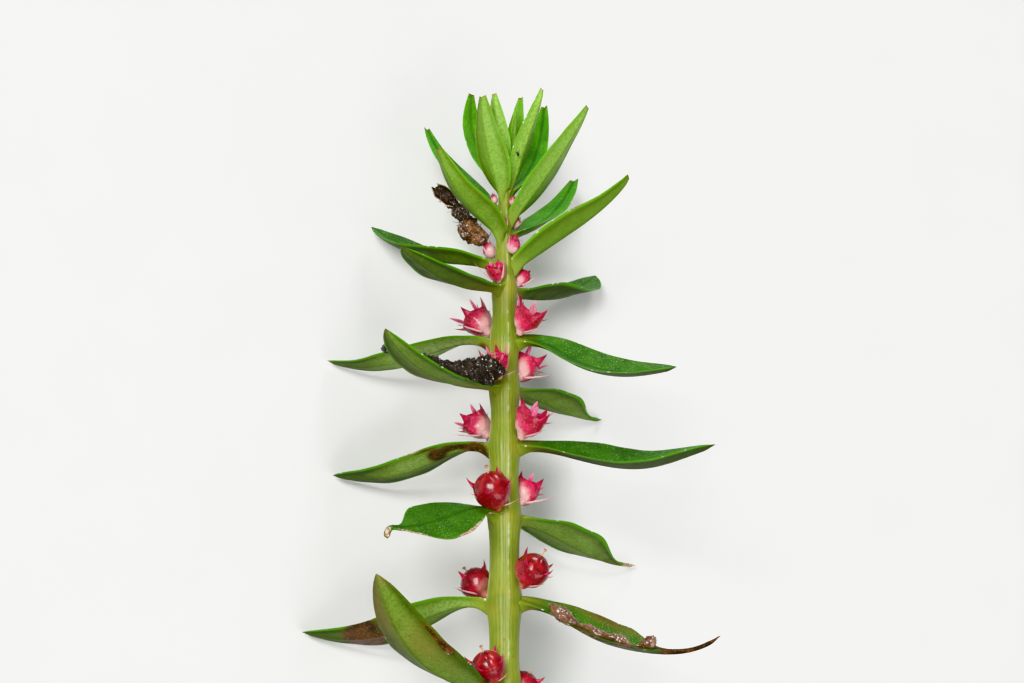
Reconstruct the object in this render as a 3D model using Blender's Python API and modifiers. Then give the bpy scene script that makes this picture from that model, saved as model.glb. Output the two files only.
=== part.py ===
"""A flowering shoot of rotala, cut from its plant and lying on its leaf tips.

The shoot is laid out in its own frame first: Y runs up the stem from the cut end, a bearing of 0 degrees
points to +X and one of 90 degrees to the side that faces up. One empty then rolls the whole shoot onto its
leaf tips.
"""

import math
from collections import namedtuple

import bmesh
import bpy
import numpy as np
from mathutils import Euler, Vector, noise

MM = 0.001

# Stem: the height of each leaf pair above the cut end, and the stem's radius there, in millimetres
PAIR_HEIGHTS = (2.5, 7.7, 13.0, 17.2, 20.8, 23.7, 26.9, 28.5, 30.3, 31.6, 33.1, 33.7, 34.3, 34.8)
PAIR_RADII = (0.92, 0.97, 0.92, 0.86, 0.84, 0.80, 0.70, 0.58, 0.46, 0.40, 0.34, 0.28, 0.22, 0.15)
JOINT_SWELL = 0.06
JOINT_REACH = 0.9
SWOLLEN_PAIRS = 7
STEM_TOP = 35.2
STEM_STEP = 1.1
STEM_BEVEL = 3

# How the shoot lies: rolled about its stem until leaf tips of the left and back rows touch the surface
LAY_ROLL = 23

# Leaf blades
BLADE_STEPS = 8
SHORT_BLADE_STEPS = 6
SHORT_BLADE = 6.5
BLADE_STRIPS = 4
BLADE_THICKNESS = 0.24
YOUNG_THICKNESS = 0.18
ROOT_GAP = 0.08
MIDLINE_STEPS = 48
HOOK_START = 0.86
KEEL_ROUNDING = 0.1
OLD_OUTLINE = (0.24, 0.40, 0.72, 0.93, 1.0, 0.95, 0.80, 0.54, 0.12)
YOUNG_OUTLINE = (0.50, 0.80, 0.98, 1.0, 0.93, 0.80, 0.64, 0.46, 0.26)

Leaf = namedtuple(
    "Leaf",
    "name pair bearing pitch roll fold length width outline thickness lift hook",
    defaults=(OLD_OUTLINE, BLADE_THICKNESS, 0.0, 0.0),
)
# bearing round the stem, pitch toward its tip, roll and fold of the blade, in degrees from root to tip
OLD_LEAVES = (
    Leaf("leaf_1_front", 1, (129, 125), (-8, 4, 21, 46, 64), (0, 0), (8, 8), 13.0, 4.2),
    Leaf("leaf_1_back", 1, (-52, -56), (-6, -4, 0, 8, 16), (0, 0), (14, 14), 11.5, 3.9, lift=-0.6),
    Leaf("leaf_2_left", 2, (189, 188), (10, -20, -18, 2, 12), (6, 0), (10, 2), 11.4, 3.8),
    Leaf("leaf_2_right", 2, (5, 5), (-10, -33, -16, 0, 36), (42, 30, 20), (24, 18), 12.5, 3.8),
    Leaf("leaf_3_front", 3, (127, 127), (4, -20, -21, -14, 8), (-24, -38, -34), (0, 0), 11, 3.6, hook=-130),
    Leaf("leaf_3_back", 3, (-49, -56), (-2, -8, -9, 0, 8), (4, -4), (10, 6), 12.2, 4.6),
    Leaf("leaf_4_left", 4, (193, 194), (14, -19, -17, 0, 10), (6, 3), (8, 2), 9.9, 3.8),
    Leaf("leaf_4_right", 4, (8, 8), (-4, -17, -9, 15, 18), (32, 26, 15), (24, 20), 12.0, 3.9),
    Leaf("leaf_5_front", 5, (124, 124), (-14, -8, 2, 16, 36), (-10, -14), (0, 0), 11.7, 3.9),
    Leaf("leaf_5_back", 5, (-58, -58), (10, 0, -2, 4, 8), (0, 0), (12, 8), 10.4, 3.7),
    Leaf("leaf_6_left", 6, (192, 193), (16, -14, -12, 0, 20), (4, 0), (10, -2), 10.3, 3.5),
    Leaf("leaf_6_right", 6, (8, 8), (0, -33, -18, 2, 12), (40, 32, 24), (22, 18), 10.0, 3.7),
    Leaf("leaf_7_front", 7, (121, 121), (-16, -10, 0, 8, 14), (-4, -12), (14, 2), 10.8, 3.6),
    Leaf("leaf_7_back", 7, (-58, -60), (6, 12, 17, 26, 42), (-14, -6, 10, 20), (22, 22, 8, 4), 10.9, 3.6),
    Leaf("leaf_8_left", 8, (200, 200), (18, 9, 21, 28, 48), (20, 8, -16, -24), (16, 16), 8.8, 3.2),
)
YOUNG_LEAVES = (
    Leaf("leaf_8_right", 8, (6, 6), (26, 33, 34, 42, 54), (-3, -3), (22, 22), 8.8, 3.5),
    Leaf("leaf_9_front", 9, (125, 125), (18, 20, 25, 42, 56), (-8, -12), (12, 12), 7.6, 2.7),
    Leaf("leaf_9_back", 9, (-57, -57), (20, 26, 34, 46, 58), (0, 0), (14, 14), 9.4, 3.0, lift=0.15),
    Leaf("leaf_10_left", 10, (195, 195), (46, 47, 49, 58, 72), (-22, -22), (10, 10), 7.5, 2.6),
    Leaf("leaf_10_right", 10, (5, 5), (44, 53, 57, 59, 62), (-14, -14), (8, 8), 8.2, 2.8),
    Leaf("leaf_11_front", 11, (120, 120), (42, 56, 66, 78, 92), (0, 0), (14, 14), 6.0, 2.3),
    Leaf("leaf_11_back", 11, (-52, -52), (34, 46, 62, 76, 86), (0, 0), (14, 14), 7.7, 2.2),
    Leaf("leaf_12_left", 12, (203, 203), (50, 58, 71, 87, 98), (-22, -22), (10, 10), 6.4, 2.2),
    Leaf("leaf_12_right", 12, (5, 5), (66, 71, 72, 72, 76), (-18, -18), (10, 10), 6.2, 2.1),
    Leaf("leaf_13_front", 13, (120, 120), (74, 78, 76, 80, 82), (0, 0), (14, 14), 4.8, 1.5),
    Leaf("leaf_13_back", 13, (-57, -57), (54, 66, 82, 80, 78), (0, 0), (14, 14), 5.6, 1.5),
    Leaf("leaf_14_left", 14, (190, 190), (84, 86, 88, 88, 88), (0, 0), (10, 10), 3.2, 0.8),
    Leaf("leaf_14_right", 14, (5, 5), (72, 80, 86, 88, 88), (0, 0), (10, 10), 3.6, 1.0),
)
LEAVES = {leaf.name: leaf for leaf in OLD_LEAVES}
LEAVES.update(
    (leaf.name, leaf._replace(outline=YOUNG_OUTLINE, thickness=YOUNG_THICKNESS)) for leaf in YOUNG_LEAVES
)

# Fruits and flowers: one in each axil, standing off the stem at a bearing, its mouth leaning outward
Bloom = namedtuple("Bloom", "name pair bearing rise radius lean kind")
BLOOMS = (
    Bloom("fruit_1_front", 1, 118, 1.05, 1.00, 40, "fruit"),
    Bloom("fruit_1_back", 1, -55, 0.55, 0.90, 40, "fruit"),
    Bloom("fruit_2_left", 2, 212, 1.42, 0.96, 40, "fruit"),
    Bloom("fruit_2_right", 2, 35, 1.75, 1.02, 40, "fruit"),
    Bloom("fruit_3_front", 3, 110, 1.12, 1.12, 40, "fruit"),
    Bloom("flower_3_back", 3, -48, 1.70, 0.85, 35, "flower"),
    Bloom("flower_4_left", 4, 208, 1.52, 0.90, 42, "flower"),
    Bloom("flower_4_right", 4, 38, 1.30, 1.00, 36, "flower"),
    Bloom("flower_5_front", 5, 106, 1.10, 0.80, 40, "flower"),
    Bloom("flower_5_back", 5, -52, 1.62, 0.92, 36, "flower"),
    Bloom("flower_6_left", 6, 208, 1.38, 0.92, 42, "flower"),
    Bloom("flower_6_right", 6, 38, 1.15, 0.90, 36, "flower"),
    Bloom("flower_7_front", 7, 112, 0.85, 0.62, 36, "flower"),
    Bloom("flower_7_back", 7, -44, 1.02, 0.60, 30, "flower"),
    Bloom("flower_8_left", 8, 205, 0.98, 0.42, 24, "bud"),
    Bloom("flower_8_right", 8, 58, 0.98, 0.42, 20, "bud"),
    Bloom("bud_9_front", 9, 95, 0.55, 0.28, 20, "bud"),
    Bloom("bud_9_back", 9, -32, 0.92, 0.32, 20, "bud"),
    Bloom("bud_10_left", 10, 193, 1.05, 0.24, 14, "bud"),
    Bloom("bud_10_right", 10, 38, 0.75, 0.22, 14, "bud"),
)
BLOOM_SIDES = 16
BUD_SIDES = 8
BLOOM_RINGS = 8
BLOOM_GAP = 0.05
# radius and height of each ring between the two poles, as shares of the bloom's radius, from the foot up
PROFILES = {
    "fruit": ((0.42, -0.88), (0.76, -0.62), (0.96, -0.24), (1, 0.16), (0.88, 0.54), (0.62, 0.82), (0.3, 0.96)),
    "flower": ((0.4, -0.92), (0.68, -0.66), (0.84, -0.3), (0.9, 0.06), (0.98, 0.4), (0.7, 0.46), (0.36, 0.4)),
    "bud": ((0.5, -1.1), (0.84, -0.7), (1, -0.2), (0.96, 0.35), (0.78, 0.85), (0.5, 1.2), (0.22, 1.4)),
}
FOOT = {"fruit": -1.0, "flower": -1.05, "bud": -1.3}
CROWN = {"fruit": 1.0, "flower": 0.45, "bud": 1.5}
STYLE_REACH = 0.55
SEPALS = 4
# the ring, radius and height of the points drawn out into sepals and petals
FRUIT_SEPAL = (3, 1.45, 0.42)
FLOWER_SEPAL = (4, 1.50, 0.75)
FLOWER_PETAL = (5, 0.95, 1.05)

# Fallen matter on the leaves
CLUMP_HEIGHT = 0.9
SPECK_HEIGHT = 0.4
MUD_HEIGHT = 0.3
BALL_HEIGHT = 0.8
SMEAR_STEPS = 8
SMEAR_STRIPS = 4
SMEAR_LEAST = 0.12
SMEAR_ROUGHNESS = 0.8
SMEAR_ENDS = (0.04, 0.96)
SMEAR_SIDES = (0.12, 0.88)
NOISE_CELL = (0.9, 0.8)
DEBRIS_GAP = 0.07
SCRAP_PATH = (
    (-1.5, 30.2, -0.2),
    (-1.9, 30.8, -0.3),
    (-2.4, 31.4, -0.3),
    (-2.9, 32.0, -0.4),
    (-3.5, 32.8, -0.4),
    (-4.0, 33.5, -0.5),
)
SCRAP_RADII = (0.45, 0.62, 0.40, 0.22, 0.42, 0.16)
SCRAP_BEVEL = 1

COLOURS = {
    "stem": ((0.38, 0.43, 0.07), 0.45),
    "old leaf": ((0.03, 0.16, 0.008), 0.38),
    "young leaf": ((0.22, 0.42, 0.03), 0.42),
    "fruit": ((0.30, 0.004, 0.008), 0.25),
    "flower": ((0.55, 0.02, 0.10), 0.38),
    "bud": ((0.72, 0.40, 0.36), 0.40),
    "scrap": ((0.16, 0.07, 0.03), 0.55),
    "clump": ((0.012, 0.009, 0.006), 0.22),
    "mud": ((0.27, 0.13, 0.08), 0.50),
}


def smooth(values, share):
    """Evenly spaced values joined by a smooth curve, read at shares 0 to 1 of the way along."""
    values = np.asarray(values, float)
    padded = np.concatenate([[2 * values[0] - values[1]], values, [2 * values[-1] - values[-2]]])
    place = np.clip(share, 0, 1) * (len(values) - 1)
    i = np.minimum(place.astype(int), len(values) - 2)
    f = place - i
    a, b, c, d = padded[i], padded[i + 1], padded[i + 2], padded[i + 3]
    return 0.5 * (2 * b + (c - a) * f + (2 * a - 5 * b + 4 * c - d) * f**2 + (3 * b - a - 3 * c + d) * f**3)


def stem_radius(height):
    """The stem's radius at a height, with a gentle swelling at each leaf pair."""
    base = np.interp(height, PAIR_HEIGHTS, PAIR_RADII)
    swell = sum(np.exp(-(((height - h) / JOINT_REACH) ** 2)) for h in PAIR_HEIGHTS[:SWOLLEN_PAIRS])
    return base * (1 + JOINT_SWELL * swell)


def material(name, look):
    colour, roughness = COLOURS[look]
    made = bpy.data.materials.new(name)
    made.use_nodes = True
    shader = made.node_tree.nodes["Principled BSDF"]
    shader.inputs["Base Color"].default_value = (*colour, 1.0)
    shader.inputs["Roughness"].default_value = roughness
    shader.inputs["Metallic"].default_value = 0.0
    made.diffuse_color = (*colour, 1.0)
    return made


def place(obj, look, collection, sprig):
    """Gives a piece its material and its place on the shoot."""
    obj.data.materials.append(material(obj.name, look))
    obj.parent = sprig
    collection.objects.link(obj)
    return obj


def mesh_object(name, shape):
    mesh = bpy.data.meshes.new(name)
    shape.normal_update()
    shape.to_mesh(mesh)
    shape.free()
    mesh.shade_smooth()
    return bpy.data.objects.new(name, mesh)


def tube(name, points, radii, bevel):
    """A closed tube of varying radius through points in millimetres."""
    curve = bpy.data.curves.new(name, "CURVE")
    curve.dimensions = "3D"
    curve.bevel_depth = MM
    curve.bevel_resolution = bevel
    curve.use_fill_caps = True
    spline = curve.splines.new("POLY")
    spline.points.add(len(points) - 1)
    for point, at, radius in zip(spline.points, points, radii):
        point.co = (*(Vector(at) * MM), 1.0)
        point.radius = radius
    return bpy.data.objects.new(name, curve)


def make_stem(collection, sprig):
    count = round(STEM_TOP / STEM_STEP)
    heights = np.linspace(0, STEM_TOP, count + 1)
    points = [(0.0, height, 0.0) for height in heights]
    place(tube("stem", points, stem_radius(heights), STEM_BEVEL), "stem", collection, sprig)


def blade_frame(leaf, share):
    """The blade's directions along it, to its side and up from its upper face, in the leaf's own frame.

    X leads away from the stem, Y toward the stem's tip.
    """
    turn = np.radians(smooth(leaf.bearing, share) - leaf.bearing[0])
    hook = leaf.hook * np.clip((share - HOOK_START) / (1 - HOOK_START), 0, 1) ** 2
    pitch = np.radians(smooth(leaf.pitch, share) + hook)[:, None]
    roll = np.radians(smooth(leaf.roll, share))[:, None]
    outward = np.stack([np.cos(turn), 0 * turn, np.sin(turn)], axis=1)
    upward = np.array([0.0, 1.0, 0.0])
    along = outward * np.cos(pitch) + upward * np.sin(pitch)
    level = np.cross(upward, outward)
    rising = upward * np.cos(pitch) - outward * np.sin(pitch)
    side = level * np.cos(roll) + rising * np.sin(roll)
    up = rising * np.cos(roll) - level * np.sin(roll)
    return along, side, up


def midline(leaf, share):
    """Points of the blade's midline in millimetres, in the leaf's own frame."""
    fine = np.linspace(0, 1, MIDLINE_STEPS + 1)
    along, _, _ = blade_frame(leaf, (fine[1:] + fine[:-1]) / 2)
    walked = np.concatenate([np.zeros((1, 3)), np.cumsum(along * leaf.length / MIDLINE_STEPS, axis=0)])
    walked[:, 0] += stem_radius(PAIR_HEIGHTS[leaf.pair - 1]) + ROOT_GAP
    return np.stack([np.interp(share, fine, walked[:, axis]) for axis in range(3)], axis=1)


def blade_points(leaf, share, across):
    """Points of the blade's middle surface in millimetres, one row for each share along it."""
    _, side, up = blade_frame(leaf, share)
    half = leaf.width / 2 * smooth(leaf.outline, share)
    fold = np.radians(smooth(leaf.fold, share))
    reach = half[:, None] * across[None, :]
    keel = np.hypot(across, KEEL_ROUNDING) - KEEL_ROUNDING
    ridge = (half * np.sin(fold))[:, None] * keel[None, :]
    flat = side[:, None, :] * (reach * np.cos(fold)[:, None])[..., None]
    return midline(leaf, share)[:, None, :] + flat + up[:, None, :] * ridge[..., None]


def grid(rows):
    """An open sheet of quads over rows of points in millimetres."""
    count, width = rows.shape[:2]
    sheet = bmesh.new()
    bmesh.ops.create_grid(sheet, x_segments=count - 1, y_segments=width - 1, size=0.5)
    for vertex in sheet.verts:
        row = round((vertex.co.x + 0.5) * (count - 1))
        column = round((vertex.co.y + 0.5) * (width - 1))
        vertex.co = Vector(rows[row, column]) * MM
    return sheet


def seat(obj, leaf):
    """Turns a piece made in a leaf's own frame to that leaf's bearing, at the height of its pair."""
    obj.location = (0, (PAIR_HEIGHTS[leaf.pair - 1] + leaf.lift) * MM, 0)
    obj.rotation_euler = Euler((0, -math.radians(leaf.bearing[0]), 0))
    return obj


def blade_shares(leaf):
    steps = BLADE_STEPS if leaf.length > SHORT_BLADE else SHORT_BLADE_STEPS
    return np.linspace(0, 1, steps + 1)


def make_leaf(leaf, collection, sprig):
    across = np.linspace(-1, 1, BLADE_STRIPS + 1)
    rows = blade_points(leaf, blade_shares(leaf), across)
    obj = seat(mesh_object(leaf.name, grid(rows)), leaf)
    shell = obj.modifiers.new("blade thickness", "SOLIDIFY")
    shell.thickness = leaf.thickness * MM
    shell.offset = 0
    look = "old leaf" if leaf.outline is OLD_OUTLINE else "young leaf"
    place(obj, look, collection, sprig)


def bloom_ring(bloom, ring, angle):
    """The place of one point of a bloom, in shares of its radius: sepals and petals are drawn out of it."""
    radius, height = PROFILES[bloom.kind][ring]
    side = round(angle / (2 * math.pi) * BLOOM_SIDES) % BLOOM_SIDES
    spacing = BLOOM_SIDES // SEPALS
    if bloom.kind == "fruit" and ring == FRUIT_SEPAL[0] and side % spacing == 0:
        return FRUIT_SEPAL[1:]
    if bloom.kind == "flower" and ring == FLOWER_SEPAL[0] and side % spacing == 0:
        return FLOWER_SEPAL[1:]
    if bloom.kind == "flower" and ring == FLOWER_PETAL[0] and side % spacing == spacing // 2:
        return FLOWER_PETAL[1:]
    return radius, height


def make_bloom(bloom, collection, sprig):
    body = bmesh.new()
    sides = BUD_SIDES if bloom.kind == "bud" else BLOOM_SIDES
    bmesh.ops.create_uvsphere(body, u_segments=sides, v_segments=BLOOM_RINGS, radius=1)
    for vertex in body.verts:
        tilt = math.acos(max(-1.0, min(1.0, vertex.co.z)))
        ring = BLOOM_RINGS - 1 - round(tilt / math.pi * BLOOM_RINGS)
        if ring < 0:
            vertex.co = (0, 0, FOOT[bloom.kind])
        elif ring == BLOOM_RINGS - 1:
            style = STYLE_REACH if bloom.kind == "fruit" else 0
            vertex.co = (0, 0, CROWN[bloom.kind] + style)
        else:
            angle = math.atan2(vertex.co.y, vertex.co.x)
            radius, height = bloom_ring(bloom, ring, angle)
            vertex.co = (radius * math.cos(angle), radius * math.sin(angle), height)
        vertex.co *= bloom.radius * MM
    obj = mesh_object(bloom.name, body)
    bearing = math.radians(bloom.bearing)
    off = stem_radius(PAIR_HEIGHTS[bloom.pair - 1] + bloom.rise) + bloom.radius + BLOOM_GAP
    height = PAIR_HEIGHTS[bloom.pair - 1] + bloom.rise
    obj.location = Vector((off * math.cos(bearing), height, off * math.sin(bearing))) * MM
    turned = Euler((0, -bearing, 0)).to_matrix()
    leaned = Euler((0, 0, -math.radians(bloom.lean))).to_matrix()
    stood = Euler((-math.pi / 2, 0, 0)).to_matrix()
    obj.rotation_euler = (turned @ leaned @ stood).to_euler()
    place(obj, bloom.kind, collection, sprig)


def smear(name, leaf, along, across, height, look, seed, collection, sprig):
    """A lump with a rough top on a leaf's upper face, over a span of shares along and across it."""
    share = np.linspace(*along, SMEAR_STEPS + 1)
    strip = np.linspace(*across, SMEAR_STRIPS + 1)
    facets = blade_shares(leaf)
    blade = blade_points(leaf, facets, strip)
    floor = np.zeros((len(share), len(strip), 3))
    for column, axis in np.ndindex(len(strip), 3):
        floor[:, column, axis] = np.interp(share, facets, blade[:, column, axis])
    _, _, up = blade_frame(leaf, share)
    profile = np.sqrt(np.sin(np.pi * np.linspace(*SMEAR_ENDS, SMEAR_STEPS + 1)))[:, None]
    crown = np.sqrt(np.sin(np.pi * np.linspace(*SMEAR_SIDES, SMEAR_STRIPS + 1)))[None, :]
    bumps = np.zeros((SMEAR_STEPS + 1, SMEAR_STRIPS + 1))
    for i, j in np.ndindex(bumps.shape):
        bumps[i, j] = noise.noise(Vector((i * NOISE_CELL[0], j * NOISE_CELL[1], seed)))
    rise = height * profile * crown * (1 + SMEAR_ROUGHNESS * bumps)
    low = floor + up[:, None, :] * (leaf.thickness / 2 + DEBRIS_GAP)
    high = low + up[:, None, :] * np.maximum(rise, SMEAR_LEAST)[..., None]
    body = bmesh.new()
    for layer in (low, high):
        sheet = grid(layer)
        part = bpy.data.meshes.new("layer")
        sheet.to_mesh(part)
        sheet.free()
        body.from_mesh(part)
        bpy.data.meshes.remove(part)
    rims = [edge for edge in body.edges if edge.is_boundary]
    bmesh.ops.bridge_loops(body, edges=rims)
    bmesh.ops.recalc_face_normals(body, faces=body.faces)
    place(seat(mesh_object(name, body), leaf), look, collection, sprig)


def settle(sprig, collection):
    """Moves the shoot so that the middle of the underside of its bounding box is at the origin."""
    bpy.context.view_layer.update()
    graph = bpy.context.evaluated_depsgraph_get()
    corners = []
    for obj in collection.objects:
        if obj.type == "EMPTY":
            continue
        shown = obj.evaluated_get(graph)
        mesh = shown.to_mesh()
        corners += [shown.matrix_world @ vertex.co for vertex in mesh.vertices]
        shown.to_mesh_clear()
    low = Vector([min(c[k] for c in corners) for k in range(3)])
    high = Vector([max(c[k] for c in corners) for k in range(3)])
    sprig.location = (-(low.x + high.x) / 2, -(low.y + high.y) / 2, -low.z)


def main():
    for obj in list(bpy.data.objects):
        bpy.data.objects.remove(obj, do_unlink=True)
    collection = bpy.data.collections.new("rotala_sprig")
    bpy.context.scene.collection.children.link(collection)
    sprig = bpy.data.objects.new("sprig", None)
    sprig.rotation_euler = Euler((0, -math.radians(LAY_ROLL), 0))
    collection.objects.link(sprig)
    make_stem(collection, sprig)
    for leaf in LEAVES.values():
        make_leaf(leaf, collection, sprig)
    for bloom in BLOOMS:
        make_bloom(bloom, collection, sprig)
    on_five = LEAVES["leaf_5_front"]
    smear("black_clump", on_five, (0.20, 0.58), (-0.2, 0.9), CLUMP_HEIGHT, "clump", 3.1, collection, sprig)
    smear("black_speck", on_five, (0.88, 0.94), (-0.9, -0.1), SPECK_HEIGHT, "clump", 5.7, collection, sprig)
    on_two = LEAVES["leaf_2_right"]
    smear("mud_streak", on_two, (0.16, 0.62), (-0.95, -0.35), MUD_HEIGHT, "mud", 8.2, collection, sprig)
    smear("mud_ball", on_two, (0.66, 0.74), (-0.5, 0.3), BALL_HEIGHT, "mud", 4.4, collection, sprig)
    place(tube("brown_scrap", SCRAP_PATH, SCRAP_RADII, SCRAP_BEVEL), "scrap", collection, sprig)
    settle(sprig, collection)


main()
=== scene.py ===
"""The looks of a flowering shoot of rotala, cut from its plant and laid on a pale table."""

import math
from collections import namedtuple

import bmesh
import bpy
import numpy as np
from mathutils import Matrix, Vector, noise


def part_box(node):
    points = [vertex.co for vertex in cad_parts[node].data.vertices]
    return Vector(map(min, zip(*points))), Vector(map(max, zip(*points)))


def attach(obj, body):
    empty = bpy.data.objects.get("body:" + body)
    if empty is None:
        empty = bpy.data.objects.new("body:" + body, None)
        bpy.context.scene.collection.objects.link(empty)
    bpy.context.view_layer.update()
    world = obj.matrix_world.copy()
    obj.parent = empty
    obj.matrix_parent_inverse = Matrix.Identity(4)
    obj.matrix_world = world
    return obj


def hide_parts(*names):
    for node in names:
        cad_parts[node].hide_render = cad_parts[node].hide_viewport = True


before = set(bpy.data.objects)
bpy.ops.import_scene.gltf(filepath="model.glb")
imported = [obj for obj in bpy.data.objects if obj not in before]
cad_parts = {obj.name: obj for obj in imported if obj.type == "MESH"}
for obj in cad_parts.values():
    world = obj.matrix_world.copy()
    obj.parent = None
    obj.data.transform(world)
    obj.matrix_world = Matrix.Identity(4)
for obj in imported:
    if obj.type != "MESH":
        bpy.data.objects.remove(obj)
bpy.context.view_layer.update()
scene = bpy.context.scene

# How the shoot lies. Its own frame is in millimetres: Y runs up the stem from the cut end, a bearing of 0
# degrees is the right side and 90 degrees the side that faces up. The whole shoot is rolled about its stem
# until the tips of the left and back leaves rest on the table.
MM = 0.001
LAY_ROLL = math.radians(23)
stem_low, stem_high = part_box("stem")
stem_foot = Vector(((stem_low.x + stem_high.x) / 2, stem_low.y, (stem_low.z + stem_high.z) / 2))
lying = Matrix.Translation(stem_foot) @ Matrix.Rotation(-LAY_ROLL, 4, "Y")
shoot = lying @ Matrix.Scale(MM, 4)

# The camera looks down on the side of the shoot that faces up, tipped back a little toward its cut end, with
# the stem upright in the picture.
VIEW_CENTRE = Vector((0.45, 23.7, 0.0))
VIEW_TILT = math.radians(75)
VIEW_DISTANCE = 260
VIEW_WIDTH = 61.44
SENSOR = 36
view_back = Vector((0, -math.cos(VIEW_TILT), math.sin(VIEW_TILT)))
view_up = Vector((0, math.sin(VIEW_TILT), math.cos(VIEW_TILT)))
view_axes = Matrix((Vector((1, 0, 0)), view_up, view_back)).transposed()
eye = shoot @ (VIEW_CENTRE + view_back * VIEW_DISTANCE)


def added(name, data):
    """A new object, linked to the scene."""
    made = bpy.data.objects.new(name, data)
    scene.collection.objects.link(made)
    return made


camera_data = bpy.data.cameras.new("camera")
camera_data.sensor_width = SENSOR
camera_data.lens = SENSOR * VIEW_DISTANCE / VIEW_WIDTH
camera_data.clip_start = 0.01
camera_data.clip_end = 10
camera = added("camera", camera_data)
camera.matrix_world = Matrix.Translation(eye) @ (lying.to_3x3() @ view_axes).to_4x4()
scene.camera = camera

# Soft studio light: a key panel up and to the left of the camera, a broad fill below it on the right, one
# panel behind the tip that lights the leaf margins, and an even grey surround.
LIGHTS = (
    ("key", (-0.20, 0.03, 0.30), 0.14, 1.5),
    ("fill", (0.10, -0.24, 0.28), 0.26, 0.9),
    ("tip", (0.06, 0.34, 0.16), 0.12, 0.7),
)
SURROUND = (0.62, 0.64, 0.66, 1)
SURROUND_STRENGTH = 0.45
for name, place, size, power in LIGHTS:
    light = bpy.data.lights.new(name, "AREA")
    light.size = size
    light.energy = power
    lamp = added(name, light)
    lamp.location = place
    lamp.rotation_mode = "QUATERNION"
    lamp.rotation_quaternion = Vector(place).to_track_quat("Z", "Y")
world = bpy.data.worlds.new("surround")
world.use_nodes = True
background = world.node_tree.nodes["Background"]
background.inputs["Color"].default_value = SURROUND
background.inputs["Strength"].default_value = SURROUND_STRENGTH
scene.world = world
scene.view_settings.view_transform = "Khronos PBR Neutral"

# Floor: a plain pale board, large enough to fill every view.
FLOOR_SIZE = 3.0


class Wire:
    """An output socket in a node tree. Arithmetic on it adds Math nodes."""

    def __init__(self, maker, socket):
        self.maker = maker
        self.socket = socket

    def math(self, operation, *values, clamp=False):
        settings = {"operation": operation, "use_clamp": clamp}
        return self.maker.node("ShaderNodeMath", settings, dict(enumerate(values)))

    def __add__(self, other):
        return self.math("ADD", self, other)

    def __sub__(self, other):
        return self.math("SUBTRACT", self, other)

    def __rsub__(self, other):
        return self.math("SUBTRACT", other, self)

    def __mul__(self, other):
        return self.math("MULTIPLY", self, other)

    def __truediv__(self, other):
        return self.math("DIVIDE", self, other)

    def __pow__(self, other):
        return self.math("POWER", self, other)

    __radd__ = __add__
    __rmul__ = __mul__

    def abs(self):
        return self.math("ABSOLUTE", self)

    def frac(self):
        return self.math("FRACT", self)

    def sin(self):
        return self.math("SINE", self)

    def cos(self):
        return self.math("COSINE", self)

    def clamp(self):
        return self.math("ADD", self, 0.0, clamp=True)

    def band(self, low, high):
        """0 below low, 1 above high and a soft step between; the other way round when low is above high."""
        values = {"Value": self, "From Min": low, "From Max": high}
        return self.maker.node("ShaderNodeMapRange", {"interpolation_type": "SMOOTHSTEP"}, values)


class Maker:
    """Adds nodes to a tree."""

    def node(self, kind, settings, values, out=0):
        made = self.tree.nodes.new(kind)
        for name, value in settings.items():
            setattr(made, name, value)
        for place, value in values.items():
            if isinstance(value, Wire):
                self.tree.links.new(value.socket, made.inputs[place])
            else:
                made.inputs[place].default_value = value
        return Wire(self, made.outputs[out])


class Finish(Maker):
    """A material in the making. Sizes are in millimetres."""

    def __init__(self, name, roughness, **constants):
        self.material = bpy.data.materials.new(name)
        self.material.use_nodes = True
        self.tree = self.material.node_tree
        self.shader = self.tree.nodes["Principled BSDF"]
        self.shader.inputs["Roughness"].default_value = roughness
        for name, value in constants.items():
            self.shader.inputs[name.replace("_", " ")].default_value = value
        place = self.node("ShaderNodeTexCoord", {}, {}, "Object")
        self.place = self.scaled(place, (1 / MM, 1 / MM, 1 / MM))

    def scaled(self, vector, scale):
        return self.node("ShaderNodeVectorMath", {"operation": "MULTIPLY"}, {0: vector, 1: scale})

    def attribute(self, name):
        return self.node("ShaderNodeAttribute", {"attribute_name": name}, {}, "Fac")

    def noise(self, size, detail, place=None):
        values = {"Vector": place or self.place, "Scale": 1 / size, "Detail": detail}
        return self.node("ShaderNodeTexNoise", {}, values)

    def cells(self, size):
        return self.node("ShaderNodeTexVoronoi", {}, {"Vector": self.place, "Scale": 1 / size}, "Distance")

    def mix(self, factor, low, high):
        """From colour low to colour high as factor goes from 0 to 1."""
        values = {0: factor}
        for place, colour in ((6, low), (7, high)):
            values[place] = colour if isinstance(colour, Wire) else (*colour, 1)
        return self.node("ShaderNodeMix", {"data_type": "RGBA"}, values, 2)

    def bump(self, height, depth, strength, under=None):
        values = {"Height": height, "Distance": depth * MM, "Strength": strength}
        if under:
            values["Normal"] = under
        return self.node("ShaderNodeBump", {}, values)

    def use(self, **links):
        for name, wire in links.items():
            self.tree.links.new(wire.socket, self.shader.inputs[name.replace("_", " ")])
        return self.material


def mesh_of(name, body, material):
    """A smooth mesh in one finish, made from a body that is then freed."""
    mesh = bpy.data.meshes.new(name)
    body.to_mesh(mesh)
    body.free()
    mesh.shade_smooth()
    mesh.materials.append(material)
    return mesh


board = Finish("board", 0.6)
speckle = board.noise(6.0, 4)
board_colour = board.mix(speckle.band(0.3, 0.7), (0.66, 0.655, 0.64), (0.70, 0.695, 0.68))
board.use(Base_Color=board_colour, Roughness=0.55 + speckle * 0.15)
floor_shape = bmesh.new()
bmesh.ops.create_grid(floor_shape, x_segments=1, y_segments=1, size=FLOOR_SIZE / 2)
floor = added("floor", mesh_of("floor", floor_shape, board.material))

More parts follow.
